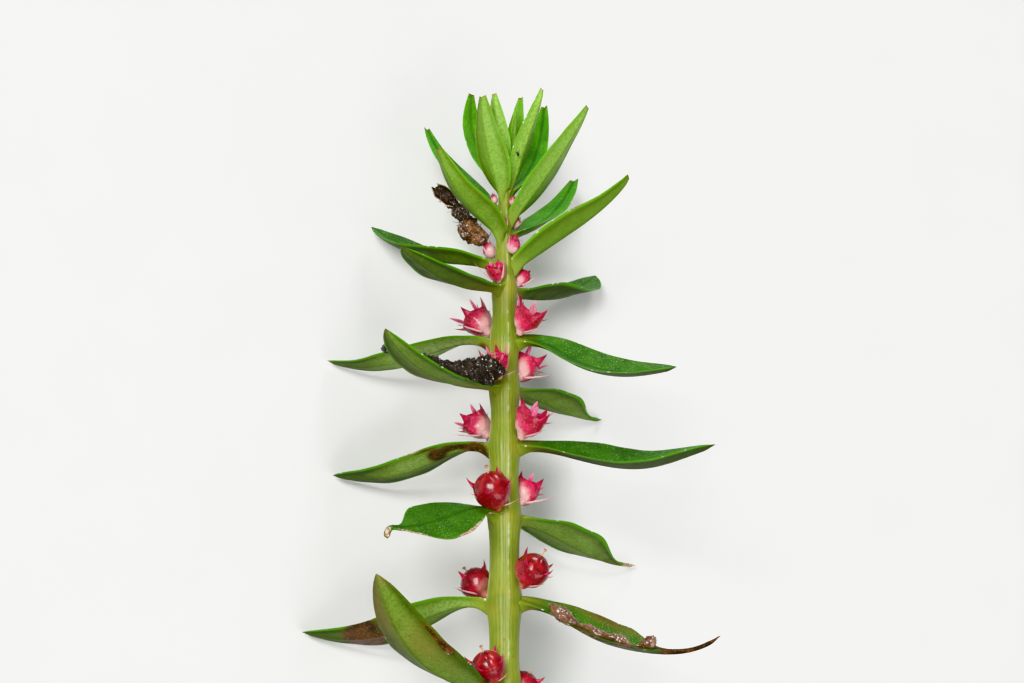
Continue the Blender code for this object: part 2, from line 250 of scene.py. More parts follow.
# Stem: one soft, watery, yellow-green stalk, four-angled and finely ribbed, with a swollen joint at each of
# its lower leaf pairs and slimmer between them. It was cut square at the foot and thins to its growing tip.
PAIR_HEIGHTS = (2.5, 7.7, 13.0, 17.2, 20.8, 23.7, 26.9, 28.5, 30.3, 31.6, 33.1, 33.7, 34.3, 34.8)
PAIR_RADII = (0.92, 0.97, 0.92, 0.86, 0.84, 0.80, 0.70, 0.58, 0.46, 0.40, 0.34, 0.28, 0.22, 0.15)
JOINT_SWELL = 0.06
JOINT_REACH = 0.9
SWOLLEN_PAIRS = 7
STEM_WAIST = 0.12
WAIST_REACH = 1.2
STEM_TOP = 35.2
STEM_STEP = 0.2
STEM_SIDES = 120
RUSTY_PLACE = (0.55, 5.0, 0.6)
RUSTY_REACH = 1.3
TINTED_REACH = 0.7
CUT_DEPTH = 0.05


def bell(away, reach):
    """1 where away is 0, falling softly to 0 on either side."""
    return np.exp(-((away / reach) ** 2))


def stem_radius(height):
    """The stem's radius at a height, with a gentle swelling at each of the lower leaf pairs."""
    base = np.interp(height, PAIR_HEIGHTS, PAIR_RADII)
    swell = sum(bell(height - h, JOINT_REACH) for h in PAIR_HEIGHTS[:SWOLLEN_PAIRS])
    return base * (1 + JOINT_SWELL * swell)


class Shaper(Maker):
    """A Geometry Nodes tree in the making, with named inputs: numbers, whole numbers and one material."""

    def __init__(self, name, numbers, whole_numbers):
        self.tree = bpy.data.node_groups.new(name, "GeometryNodeTree")
        face = self.tree.interface
        face.new_socket("Geometry", in_out="INPUT", socket_type="NodeSocketGeometry")
        for kind, titles in (("Float", numbers), ("Int", whole_numbers), ("Material", "Material")):
            for title in titles.split():
                face.new_socket(title, in_out="INPUT", socket_type="NodeSocket" + kind)
        face.new_socket("Geometry", in_out="OUTPUT", socket_type="NodeSocketGeometry")
        self.inputs = self.tree.nodes.new("NodeGroupInput")
        self.result = self.tree.nodes.new("NodeGroupOutput")

    def take(self, title):
        return Wire(self, self.inputs.outputs[title])

    def position(self):
        """The three coordinates of each point."""
        place = self.node("GeometryNodeInputPosition", {}, {})
        return [self.node("ShaderNodeSeparateXYZ", {}, {0: place}, axis) for axis in range(3)]

    def vector(self, x, y, z):
        return self.node("ShaderNodeCombineXYZ", {}, {0: x, 1: y, 2: z})

    def moved(self, shape, place):
        return self.node("GeometryNodeSetPosition", {}, {"Geometry": shape, "Position": place})

    def stored(self, shape, name, value):
        settings = {"data_type": "FLOAT", "domain": "POINT"}
        values = {"Geometry": shape, "Name": name, "Value": value}
        return self.node("GeometryNodeStoreNamedAttribute", settings, values)

    def random(self, low, high, seed):
        values = {2: low, 3: high, "Seed": seed}
        return self.node("FunctionNodeRandomValue", {"data_type": "FLOAT"}, values, 1)

    def rod(self, sides, segments):
        """An upright rod of unit radius and length."""
        values = {"Vertices": sides, "Side Segments": segments, "Radius": 1.0, "Depth": 1.0}
        return self.node("GeometryNodeMeshCylinder", {"fill_type": "NGON"}, values)

    def repeated(self, points, shape, turn, scale):
        """A shape at each point, turned by three angles."""
        facing = self.node("FunctionNodeEulerToRotation", {}, {0: turn})
        values = {"Points": points, "Instance": shape, "Rotation": facing, "Scale": scale}
        return self.node("GeometryNodeInstanceOnPoints", {}, values)

    def finished(self, shape):
        """A shape as real, smooth geometry in the tree's material."""
        real = self.node("GeometryNodeRealizeInstances", {}, {"Geometry": shape})
        smooth = self.node("GeometryNodeSetShadeSmooth", {}, {0: real})
        values = {"Geometry": smooth, "Material": self.take("Material")}
        return self.node("GeometryNodeSetMaterial", {}, values)

    def joined(self, *shapes):
        made = self.tree.nodes.new("GeometryNodeJoinGeometry")
        for shape in shapes:
            self.tree.links.new(shape.socket, made.inputs[0])
        return Wire(self, made.outputs[0])

    def end(self, shape):
        self.tree.links.new(shape.socket, self.result.inputs[0])


def grow(obj, tree, **values):
    """Adds a Geometry Nodes modifier to an object and sets its inputs."""
    modifier = obj.modifiers.new(tree.name, "NODES")
    modifier.node_group = tree
    for item in tree.interface.items_tree:
        if item.in_out == "INPUT" and item.name in values:
            modifier[item.identifier] = values[item.name]


def settled(obj, name, matrix):
    """A plain mesh object made from an object and its modifiers, put in its place by a matrix."""
    scene.collection.objects.link(obj)
    bpy.context.view_layer.update()
    mesh = bpy.data.meshes.new_from_object(obj.evaluated_get(bpy.context.evaluated_depsgraph_get()))
    mesh.name = name
    mesh.transform(matrix)
    made = added(name, mesh)
    bpy.data.objects.remove(obj, do_unlink=True)
    return made


ridged = Shaper("ridged_stalk", "Ridge Line Rib Ribs", "Sides")
circle = {"Resolution": ridged.take("Sides"), "Radius": 1.0}
ring = ridged.node("GeometryNodeCurvePrimitiveCircle", {}, circle)
ring_x, ring_y, _ = ridged.position()
bearing = ridged.node("ShaderNodeMath", {"operation": "ARCTAN2"}, {0: ring_y, 1: ring_x})
toward_corner = (bearing * 2 - 0.6).cos().abs()
corner = toward_corner**3
line = toward_corner**130
rib = (bearing * ridged.take("Ribs")).cos()
reach = 1 + corner * ridged.take("Ridge") + line * ridged.take("Line") + rib * ridged.take("Rib")
ring = ridged.moved(ring, ridged.vector(ring_x * reach, ring_y * reach, 0.0))
# The corner and line marks also lead the painted sheen and painted highlight on the stem.
ring = ridged.stored(ring, "corner", corner)
ring = ridged.stored(ring, "line", line)
ring = ridged.stored(ring, "rib", rib * 0.5 + 0.5)
radius = ridged.node("GeometryNodeInputRadius", {}, {})
swept = {"Curve": ridged.take("Geometry"), "Profile Curve": ring, "Scale": radius, "Fill Caps": True}
pipe = ridged.node("GeometryNodeCurveToMesh", {}, swept)
ridged.end(ridged.finished(pipe))

stalk = Finish("stem", 0.38, Subsurface_Weight=0.12, Subsurface_Scale=0.0006, Specular_IOR_Level=0.32)
along_stem = stalk.scaled(stalk.place, (1, 0.12, 1))
fibre = stalk.noise(0.16, 4, along_stem)
patchy = stalk.noise(1.6, 3)
juice = stalk.mix(patchy.band(0.35, 0.68), (0.158, 0.208, 0.022), (0.212, 0.252, 0.036))
juice = stalk.mix(fibre.band(0.48, 0.72) * 0.28, juice, (0.29, 0.34, 0.085))
juice = stalk.mix(fibre.band(0.46, 0.34) * 0.22, juice, (0.125, 0.180, 0.020))
# A faint painted sheen, lighter along the four corners.
juice = stalk.mix(stalk.attribute("corner").band(0.60, 1.0) * 0.10, juice, (0.40, 0.45, 0.14))
# A thin, broken painted highlight along the crest of each corner.
painted_glint_breaks = stalk.noise(0.9, 5).band(0.46, 0.62)
juice = stalk.mix(stalk.attribute("line") * painted_glint_breaks * 0.40, juice, (0.74, 0.79, 0.56))
juice = stalk.mix(stalk.attribute("joint") * patchy.band(0.36, 0.60) * 0.30, juice, (0.34, 0.22, 0.03))
fleck = stalk.cells(0.9).band(0.13, 0.04) * stalk.noise(2.6, 2).band(0.52, 0.62)
rust = stalk.cells(0.34).band(0.34, 0.10) * stalk.attribute("rusty") * fibre.band(0.40, 0.60)
juice = stalk.mix((fleck + rust).clamp() * 0.8, juice, (0.16, 0.05, 0.015))
juice = stalk.mix(stalk.attribute("cut") * 0.85, juice, (0.42, 0.45, 0.17))
stem_bump = stalk.bump(fibre * 0.7 + stalk.attribute("rib") * 0.3, 0.04, 0.5)
stem_bump = stalk.bump(stalk.noise(0.09, 2), 0.012, 0.6, stem_bump)
stem_material = stalk.use(Base_Color=juice, Roughness=0.32 + patchy * 0.22, Normal=stem_bump)

stem_line = bpy.data.curves.new("stem_line", "CURVE")
stem_line.dimensions = "3D"
stem_spline = stem_line.splines.new("POLY")
stem_heights = np.linspace(0, STEM_TOP, round(STEM_TOP / STEM_STEP) + 1)
stem_spline.points.add(len(stem_heights) - 1)
for point, height in zip(stem_spline.points, stem_heights):
    point.co = (0.0, height, 0.0, 1.0)
    nearest = min(abs(height - h) for h in PAIR_HEIGHTS)
    waist = STEM_WAIST * (1 - bell(nearest, WAIST_REACH))
    point.radius = float(stem_radius(height) * (1 - waist))
stem_source = bpy.data.objects.new("stem_source", stem_line)
stem_shape = {"Sides": STEM_SIDES, "Ridge": 0.05, "Line": 0.055, "Rib": 0.007, "Ribs": 24.0}
grow(stem_source, ridged.tree, Material=stem_material, **stem_shape)
stem = settled(stem_source, "stem_stalk", Matrix.Identity(4))
stem_points = np.array([vertex.co for vertex in stem.data.vertices])
point_heights = stem_points[:, 1]
swollen_heights = np.array(PAIR_HEIGHTS[:SWOLLEN_PAIRS])
stem_marks = {
    "joint": bell(np.abs(point_heights[:, None] - swollen_heights).min(axis=1), TINTED_REACH),
    "cut": point_heights < CUT_DEPTH,
    "rusty": bell(np.linalg.norm(stem_points - RUSTY_PLACE, axis=1), RUSTY_REACH),
}
for name, values in stem_marks.items():
    stem.data.attributes.new(name, "FLOAT", "POINT").data.foreach_set("value", values.astype(np.float32))
stem.data.transform(shoot)
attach(stem, "root")
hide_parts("stem")

# Leaves: thin fleshy blades in crossed pairs, with a sunken midrib above, a raised one beneath and a bright
# thin margin. The old ones are dark and grained above, pale beneath, spread out and browned in places, with
# painted glints, painted light and painted shade.
BLADE_ROWS = 72
BLADE_RING = 36
MIDLINE_STEPS = 96
OLD_OUTLINE = (0.24, 0.40, 0.72, 0.93, 1.0, 0.95, 0.80, 0.54, 0.12)
YOUNG_OUTLINE = (0.26, 0.74, 0.97, 1.0, 0.94, 0.80, 0.63, 0.44, 0.22)
OLD_THICKNESS = 0.24
YOUNG_THICKNESS = 0.18
OLD_THINNING = 0.98
YOUNG_THINNING = 0.6
ROUNDED_FROM = 0.93
ROUNDED_LENGTH = 0.07
THINNED_SPAN = (0.93, 1.0)
FULLNESS = 0.35
FULLEST_AT = 0.17
FULL_REACH = 0.12
HOOK_START = 0.86
KEEL_ROUNDING = 0.1
RIPPLE_SIZE = 1.7
RIPPLE_HEIGHT = 0.10
RIB_DEPTH = 0.13
RIB_REACH = 0.16
GROOVE_DEPTH = 0.07
GROOVE_REACH = 0.12
NOTCH_DEPTH = 0.13
NOTCH_REACH = 0.5
NOTCH_START = 0.88
ROOT_GAP = 0.08
ROOT_DEPTHS = (0.40, 0.20)
ROOT_SWELL = 1.1
ROOT_REACH = 1.0
OLD_FOOT = 0.34
YOUNG_FOOT = 0.75
FOOT_REACH = 0.7
FOOT_PINCH = 0.4
CLASP_REACH = 0.9
CLASP_LIMIT = 0.45
TIP_PAINTED_SHADE = 0.85
PAINTED_SHADE_TIP_SPAN = (0.45, 0.85)
PAINTED_SHADE_HALF_SPAN = (-0.2, 0.5)
TENDER_FROM = 11.5
TENDER_TO = 13.0
MERGE_DISTANCE = 1e-4
SEED_STEP = 3.7
YOUNG_SEED = 60

Leaf = namedtuple("Leaf", "name pair bearing pitch roll fold length width lift hook", defaults=(0.0, 0.0))
# Bearing round the stem, pitch toward its tip, roll and fold of the blade, in degrees from root to tip, then
# its length and width, how far its root sits above its pair's height, and how many degrees its tip hooks
OLD_LEAVES = (
    Leaf("leaf_1_front", 1, (129, 125), (-8, 4, 21, 46, 64), (0, 0), (18, 22, 20), 13.0, 4.2),
    Leaf("leaf_1_back", 1, (-52, -56), (-6, -4, 0, 8, 16), (0, 0), (14, 14), 11.5, 3.9, lift=-0.6),
    Leaf("leaf_2_left", 2, (189, 188), (10, -20, -18, 2, 12), (16, 14, 4), (10, 2), 11.4, 3.8),
    Leaf("leaf_2_right", 2, (5, 5), (-10, -33, -16, 0, 36), (42, 30, 20), (24, 18), 12.5, 3.8),
    Leaf("leaf_3_front", 3, (127, 127), (4, -20, -21, -14, 8), (-24, -38, -34), (0, 0), 11, 3.6, hook=-130),
    Leaf("leaf_3_back", 3, (-49, -56), (-2, -8, -9, 0, 8), (4, -4), (10, 6), 12.2, 4.6),
    Leaf("leaf_4_left", 4, (193, 194), (14, -19, -17, 0, 10), (6, 3), (8, 2), 9.9, 3.8),
    Leaf("leaf_4_right", 4, (8, 8), (-4, -17, -9, 15, 18), (32, 26, 15), (24, 20), 12.0, 3.9),
    Leaf("leaf_5_front", 5, (124, 124), (-14, -8, 2, 16, 36), (-10, -14), (0, 0), 11.7, 3.9),
    Leaf("leaf_5_back", 5, (-58, -58), (10, 0, -2, 4, 8), (0, 0), (12, 8), 10.4, 3.7),
    Leaf("leaf_6_left", 6, (192, 193), (16, -14, -12, 0, 20), (4, 0), (10, -2), 10.3, 3.5),
    Leaf("leaf_6_right", 6, (8, 8), (0, -33, -18, 2, 12), (40, 32, 24), (22, 18), 10.0, 3.7),
    Leaf("leaf_7_front", 7, (121, 121), (-16, -10, 0, 8, 14), (-4, -12), (14, 2), 10.8, 3.6),
    Leaf("leaf_7_back", 7, (-58, -60), (6, 12, 17, 26, 42), (-14, -6, 10, 20), (22, 22, 8, 4), 10.9, 3.6),
    Leaf("leaf_8_left", 8, (200, 200), (18, 9, 21, 28, 48), (20, 8, -16, -24), (16, 16), 8.8, 3.2),
)
YOUNG_LEAVES = (
    Leaf("leaf_8_right", 8, (6, 6), (26, 33, 34, 42, 54), (-3, -3), (22, 22), 8.8, 3.5),
    Leaf("leaf_9_front", 9, (125, 125), (18, 20, 25, 42, 56), (-8, -12), (22, 22), 7.6, 2.7),
    Leaf("leaf_9_back", 9, (-57, -57), (20, 26, 34, 46, 58), (0, 0), (14, 14), 9.4, 3.0, lift=0.15),
    Leaf("leaf_10_left", 10, (195, 195), (46, 47, 49, 58, 72), (-22, -22), (10, 10), 7.5, 2.6),
    Leaf("leaf_10_right", 10, (5, 5), (44, 53, 57, 59, 62), (-14, -14), (8, 8), 8.2, 2.8),
    Leaf("leaf_11_front", 11, (120, 120), (42, 56, 66, 78, 92), (0, 0), (24, 24), 6.0, 2.3),
    Leaf("leaf_11_back", 11, (-52, -52), (34, 46, 62, 76, 86), (0, 0), (14, 14), 7.7, 2.2),
    Leaf("leaf_12_left", 12, (203, 203), (50, 58, 71, 87, 98), (-22, -22), (10, 10), 6.4, 2.2),
    Leaf("leaf_12_right", 12, (5, 5), (66, 71, 72, 72, 76), (-18, -18), (10, 10), 6.2, 2.1),
    Leaf("leaf_13_front", 13, (120, 120), (74, 78, 76, 80, 82), (0, 0), (14, 14), 4.8, 1.5),
    Leaf("leaf_13_back", 13, (-57, -57), (54, 66, 82, 80, 78), (0, 0), (14, 14), 5.6, 1.5),
    Leaf("leaf_14_left", 14, (190, 190), (84, 86, 88, 88, 88), (0, 0), (10, 10), 3.2, 0.8),
    Leaf("leaf_14_right", 14, (5, 5), (72, 80, 86, 88, 88), (0, 0), (10, 10), 3.6, 1.0),
)
# Browned places on a leaf, then tan crusts: share along it, share across it, their reach each way, and how
# far each has gone
BROWNED = {
    "leaf_1_front": (
        (0.53, 0.88, 0.09, 0.14, 1.15), (0.64, 0.88, 0.11, 0.09, 0.95),
        (0.12, 0.90, 0.05, 0.22, 1.0),
    ),
    "leaf_2_left": ((0.66, 0.0, 0.13, 1.8, 1.15),),
    "leaf_2_right": (
        (0.92, 0.0, 0.25, 3.0, 1.5), (0.40, 0.85, 0.22, 0.25, 0.55),
        (0.46, -1.0, 0.26, 0.42, 1.0),
    ),
    "leaf_3_front": ((0.55, 1.0, 0.45, 0.03, 0.8), (0.97, 0.0, 0.06, 1.5, 0.7)),
    "leaf_3_back": ((0.96, 0.0, 0.10, 2.5, 1.0),),
    "leaf_4_left": (
        (0.31, 0.35, 0.08, 0.50, 1.10), (0.22, 0.50, 0.09, 0.36, 1.05),
        (0.36, 0.85, 0.12, 0.12, 0.8), (0.15, 0.50, 0.08, 0.45, 1.0),
        (0.06, 0.3, 0.10, 1.1, 0.95),
    ),
    "leaf_4_right": ((0.05, -1.0, 0.25, 0.4, 0.5), (1.0, 0.0, 0.03, 1.5, 0.9)),
    "leaf_5_front": ((0.10, -0.4, 0.16, 0.8, 0.48), (1.0, 0.0, 0.02, 1.5, 0.9)),
    "leaf_6_left": ((0.03, 0.0, 0.05, 1.0, 0.75),),
    "leaf_7_front": ((0.05, -0.3, 0.14, 0.9, 0.5),),
}
CRUSTED = {
    "leaf_1_front": ((0.49, 0.80, 0.02, 0.06, 0.9),),
    "leaf_2_left": ((0.74, -0.95, 0.06, 0.22, 1.0), (1.0, 0.0, 0.025, 1.5, 1.0)),
    "leaf_3_front": (
        (0.38, 0.97, 0.15, 0.10, 1.1), (0.79, 0.97, 0.10, 0.15, 1.1),
        (0.10, 0.97, 0.04, 0.12, 0.9), (0.96, 0.0, 0.05, 1.0, 0.8),
    ),
    "leaf_3_back": ((0.94, 0.1, 0.09, 1.8, 1.05),),
    "leaf_4_left": ((0.42, 0.98, 0.10, 0.05, 0.8), (1.0, 0.0, 0.025, 1.5, 1.0)),
    "leaf_6_left": ((1.0, 0.0, 0.03, 1.5, 1.0),),
    "leaf_6_right": ((1.0, 0.0, 0.015, 1.5, 1.0),),
    "leaf_8_right": ((0.55, -0.97, 0.03, 0.10, 0.9),),
}
# Places faded to a soft tan, in the same five values
FADED = {
    "leaf_1_front": (
        (0.84, -0.55, 0.20, 0.50, 0.85), (0.60, 0.45, 0.14, 0.40, 0.75),
        (0.99, 0.2, 0.06, 1.5, 0.7), (0.40, 0.50, 0.10, 0.25, 0.4),
    ),
    "leaf_2_right": ((0.42, 0.85, 0.25, 0.35, 0.75), (0.05, 0.0, 0.08, 1.0, 0.4)),
    "leaf_3_back": ((0.85, 0.0, 0.10, 1.5, 0.6),),
    "leaf_4_left": ((0.42, 0.97, 0.13, 0.10, 1.0), (0.16, -0.6, 0.10, 0.8, 0.5)),
    "leaf_4_right": ((0.12, -1.0, 0.22, 0.6, 0.8),),
    "leaf_5_front": ((0.14, -0.2, 0.20, 0.9, 0.95), (0.42, -0.75, 0.22, 0.4, 0.6)),
    "leaf_6_left": ((0.07, 0.0, 0.09, 1.0, 0.7),),
    "leaf_7_front": ((0.12, -0.3, 0.16, 1.0, 0.8),),
}
# Leaves whose ends have shrivelled: the shares between which the blade shrinks, and half the width left
SHRIVELLED = {
    "leaf_2_right": (0.50, 0.76, 0.17),
    "leaf_3_back": (0.36, 0.92, 0.10),
    "leaf_3_front": (0.55, 0.92, 0.20),
    "leaf_5_back": (0.40, 0.98, 0.08),
    "leaf_1_back": (0.70, 1.0, 0.16),
}
# Leaves that are fuller than the rest near their bases
FULL_BASED = ("leaf_3_back", "leaf_5_back")
# How pale a leaf is beneath, partly its own tone and partly painted light, how much painted shade darkens the
# half on one side of its midrib there, and how bright its margin is
PALLOR_AND_PAINTED_LIGHT = {
    "leaf_1_front": (0.62, -0.75, 0.15),
    "leaf_2_left": (1.15, -0.35, 0.9),
    "leaf_2_right": (-0.1, 0.0, 0.25),
    "leaf_3_back": (0.85, 0.35, 1.0),
    "leaf_4_left": (1.25, -0.80, 1.0),
    "leaf_4_right": (-0.1, 0.0, 1.0),
    "leaf_5_front": (0.65, -0.65, 0.9),
    "leaf_5_back": (0.70, 0.3, 1.0),
    "leaf_6_left": (1.65, 0.0, 1.0),
    "leaf_6_right": (0.05, 0.0, 1.0),
    "leaf_7_front": (0.35, -0.60, 1.0),
    "leaf_7_back": (0.10, 0.0, 1.0),
    "leaf_8_left": (0.15, 0.0, 1.0),
    "leaf_8_right": (0.35, 0.35, 0.9),
    "leaf_9_front": (0.60, -0.45, 0.6),
    "leaf_10_right": (1.35, 0.25, 0.9),
    "leaf_11_front": (0.80, -0.50, 0.6),
    "leaf_12_right": (1.75, 0.0, 0.8),
    "leaf_13_front": (1.3, 0.0, 0.8),
    "leaf_14_left": (1.4, 0.0, 0.8),
    "leaf_14_right": (1.4, 0.0, 0.8),
}
USUAL_PALLOR_AND_PAINTED_LIGHT = (0.75, 0.0, 0.9)
# Leaves with painted shade beneath toward their tips
PAINTED_SHADE_TIPS = ("leaf_2_left", "leaf_4_left", "leaf_6_left", "leaf_3_back")


def smooth(values, share):
    """Evenly spaced values joined by a smooth curve, read at shares 0 to 1 of the way along."""
    values = np.asarray(values, float)
    padded = np.concatenate([[2 * values[0] - values[1]], values, [2 * values[-1] - values[-2]]])
    place = np.clip(share, 0, 1) * (len(values) - 1)
    i = np.minimum(place.astype(int), len(values) - 2)
    f = place - i
    a, b, c, d = padded[i], padded[i + 1], padded[i + 2], padded[i + 3]
    return 0.5 * (2 * b + (c - a) * f + (2 * a - 5 * b + 4 * c - d) * f**2 + (3 * b - a - 3 * c + d) * f**3)


def blade_frame(leaf, share):
    """The blade's directions along it, to its side and up from its upper face, in the leaf's own frame."""
    turn = np.radians(smooth(leaf.bearing, share) - leaf.bearing[0])
    hook = leaf.hook * np.clip((share - HOOK_START) / (1 - HOOK_START), 0, 1) ** 2
    pitch = np.radians(smooth(leaf.pitch, share) + hook)[:, None]
    roll = np.radians(smooth(leaf.roll, share))[:, None]
    outward = np.stack([np.cos(turn), 0 * turn, np.sin(turn)], axis=1)
    upward = np.array([0.0, 1.0, 0.0])
    along = outward * np.cos(pitch) + upward * np.sin(pitch)
    level = np.cross(upward, outward)
    rising = upward * np.cos(pitch) - outward * np.sin(pitch)
    side = level * np.cos(roll) + rising * np.sin(roll)
    up = rising * np.cos(roll) - level * np.sin(roll)
    return along, side, up


def midline(leaf, share):
    """Points of the blade's midline, in the leaf's own frame."""
    fine = np.linspace(0, 1, MIDLINE_STEPS + 1)
    along, _, _ = blade_frame(leaf, (fine[1:] + fine[:-1]) / 2)
    walked = np.concatenate([np.zeros((1, 3)), np.cumsum(along * leaf.length / MIDLINE_STEPS, axis=0)])
    walked[:, 0] += stem_radius(PAIR_HEIGHTS[leaf.pair - 1]) + ROOT_GAP
    return np.stack([np.interp(share, fine, walked[:, axis]) for axis in range(3)], axis=1)


@np.vectorize
def soft_noise(x, y, z):
    """Soft random values of about -1 to 1, one for each point."""
    return noise.noise(Vector((x, y, z)))


def unit(vectors):
    return vectors / np.linalg.norm(vectors, axis=-1, keepdims=True)


def step(low, high, share):
    """A soft step from 0 below low to 1 above high."""
    way = np.clip((share - low) / (high - low), 0, 1)
    return way**2 * (3 - 2 * way)


def half_width(leaf, share, outline):
    """Half the blade's width along it, with a rounded or a shrivelled end."""
    half = leaf.width / 2 * smooth(outline, share)
    if leaf.name in FULL_BASED:
        half = half * (1 + FULLNESS * bell(share - FULLEST_AT, FULL_REACH))
    if outline is OLD_OUTLINE:
        rounded = np.clip(share - ROUNDED_FROM, 0, 1) / ROUNDED_LENGTH
        half = half * np.sqrt(np.clip(1 - rounded**2, 0, 1))
    if leaf.name in SHRIVELLED:
        start, end, left = SHRIVELLED[leaf.name]
        shrunk = step(start, end, share)
        half = half * (1 - shrunk) + np.minimum(half, left) * shrunk
    return half


def spotted(spots, share, across):
    """How far each point of a blade lies in one of a few spots."""
    depth = 0.0
    for at, to, reach, spread, strength in spots:
        away = ((share - at) / reach) ** 2 + ((across - to) / spread) ** 2
        depth = np.maximum(depth, strength * np.exp(-away))
    return depth


def loft(rings, **marks):
    """A closed body through rings of points, with marks that store a value at each point."""
    rows, around = rings.shape[:2]
    marks = {name: np.broadcast_to(values, (rows, around)) for name, values in marks.items()}
    body = bmesh.new()
    bmesh.ops.create_grid(body, x_segments=rows - 1, y_segments=around, size=0.5)
    layers = {name: body.verts.layers.float.new(name) for name in marks}
    for vertex in body.verts:
        row = round((vertex.co.x + 0.5) * (rows - 1))
        column = round((vertex.co.y + 0.5) * around) % around
        vertex.co = rings[row, column]
        for name, layer in layers.items():
            vertex[layer] = marks[name][row, column]
    bmesh.ops.remove_doubles(body, verts=body.verts, dist=MERGE_DISTANCE)
    rims = [edge for edge in body.edges if edge.is_boundary]
    bmesh.ops.holes_fill(body, edges=rims, sides=0)
    bmesh.ops.recalc_face_normals(body, faces=body.faces)
    return body


def blade(leaf, young, seed):
    """A leaf's body in the leaf's own frame, as rings round it from root to tip."""
    outline = YOUNG_OUTLINE if young else OLD_OUTLINE
    thickness = YOUNG_THICKNESS if young else OLD_THICKNESS
    thinning = YOUNG_THINNING if young else OLD_THINNING
    share = np.linspace(0, 1, BLADE_ROWS + 1)
    turn = np.linspace(0, 2 * np.pi, BLADE_RING, endpoint=False)
    across = np.cos(turn)
    face = np.sin(turn)
    along, side, up = (direction[:, None, :] for direction in blade_frame(leaf, share))
    middle = midline(leaf, share)[:, None, :]
    half = half_width(leaf, share, outline)[:, None]
    share = share[:, None]
    walked = share * leaf.length
    fold = np.radians(smooth(leaf.fold, share))
    off = half * across
    keel = np.hypot(across, KEEL_ROUNDING) - KEEL_ROUNDING
    ridge = half * np.sin(fold) * keel
    ripple = RIPPLE_HEIGHT * soft_noise(walked / RIPPLE_SIZE, across / RIPPLE_SIZE, seed)
    ripple = ripple * np.abs(across) * np.sin(np.pi * share)
    body = (1 - 0.5 * across**2) * np.sign(face) * np.abs(face) ** 0.7
    thinned = 1 - thinning * step(*THINNED_SPAN, share)
    plump = thickness / 2 * body * thinned * (1 + ROOT_SWELL * bell(walked, ROOT_REACH))
    fade = (1 - share) ** 0.5
    rib_beneath = RIB_DEPTH * bell(off, RIB_REACH) * fade * (face < 0)
    groove_above = GROOVE_DEPTH * bell(off, GROOVE_REACH) * fade * (face > 0)
    lift = ridge + ripple + plump - rib_beneath - groove_above
    notched = np.clip((share - NOTCH_START) / (1 - NOTCH_START), 0, 1) ** 2
    notch = young * NOTCH_DEPTH * bell(across, NOTCH_REACH) * notched
    stem_curve = off**2 / (2 * stem_radius(PAIR_HEIGHTS[leaf.pair - 1]))
    clasp = np.minimum(stem_curve, CLASP_LIMIT) * bell(walked, CLASP_REACH)
    rings = middle + side * (off * np.cos(fold))[..., None] + up * lift[..., None]
    rings = rings - along * (notch + clasp)[..., None]
    foot = (YOUNG_FOOT if young else OLD_FOOT) * np.clip(1 - walked / FOOT_REACH, 0, 1) ** 2
    foot = foot * face**2 * (face < 0)
    rings[..., 1] -= foot
    rings[..., 0] -= foot * FOOT_PINCH
    inward = -unit(along[0, 0] + np.array([1.0, 0.0, 0.0]))
    roots = []
    for depth in ROOT_DEPTHS:
        moved = rings[0] + inward * depth
        centre = moved.mean(axis=0)
        roots.append(centre + (moved - centre) * (1 - depth if young else 1 + depth))
    rings = np.concatenate([np.stack(roots), rings])
    extra = ((len(ROOT_DEPTHS), 0), (0, 0))
    share = np.pad(share, extra, "edge")
    off = np.pad(off, extra, "edge")
    pale, painted_shade_side, rimmed = PALLOR_AND_PAINTED_LIGHT.get(leaf.name, USUAL_PALLOR_AND_PAINTED_LIGHT)
    # Painted shade darkens the half of the blade on one side of its midrib beneath.
    painted_shade_half = abs(painted_shade_side) * step(*PAINTED_SHADE_HALF_SPAN, across * np.sign(painted_shade_side))
    # Painted shade beneath toward the tips of some leaves.
    painted_shade_tip = (leaf.name in PAINTED_SHADE_TIPS) * TIP_PAINTED_SHADE * step(*PAINTED_SHADE_TIP_SPAN, share)
    return loft(
        rings,
        run=share * leaf.length,
        off=off,
        along=share,
        across=across,
        upper=0.5 + 0.5 * np.clip(face * 4, -1, 1),
        pallor=pale * (1 - painted_shade_tip) * (1 - painted_shade_half),
        rimmed=rimmed,
        tender=np.clip((leaf.pair - TENDER_FROM) / (TENDER_TO - TENDER_FROM), 0, 1),
        faded=spotted(FADED.get(leaf.name, ()), share, across),
        browned=spotted(BROWNED.get(leaf.name, ()), share, across),
        crusted=spotted(CRUSTED.get(leaf.name, ()), share, across),
    )


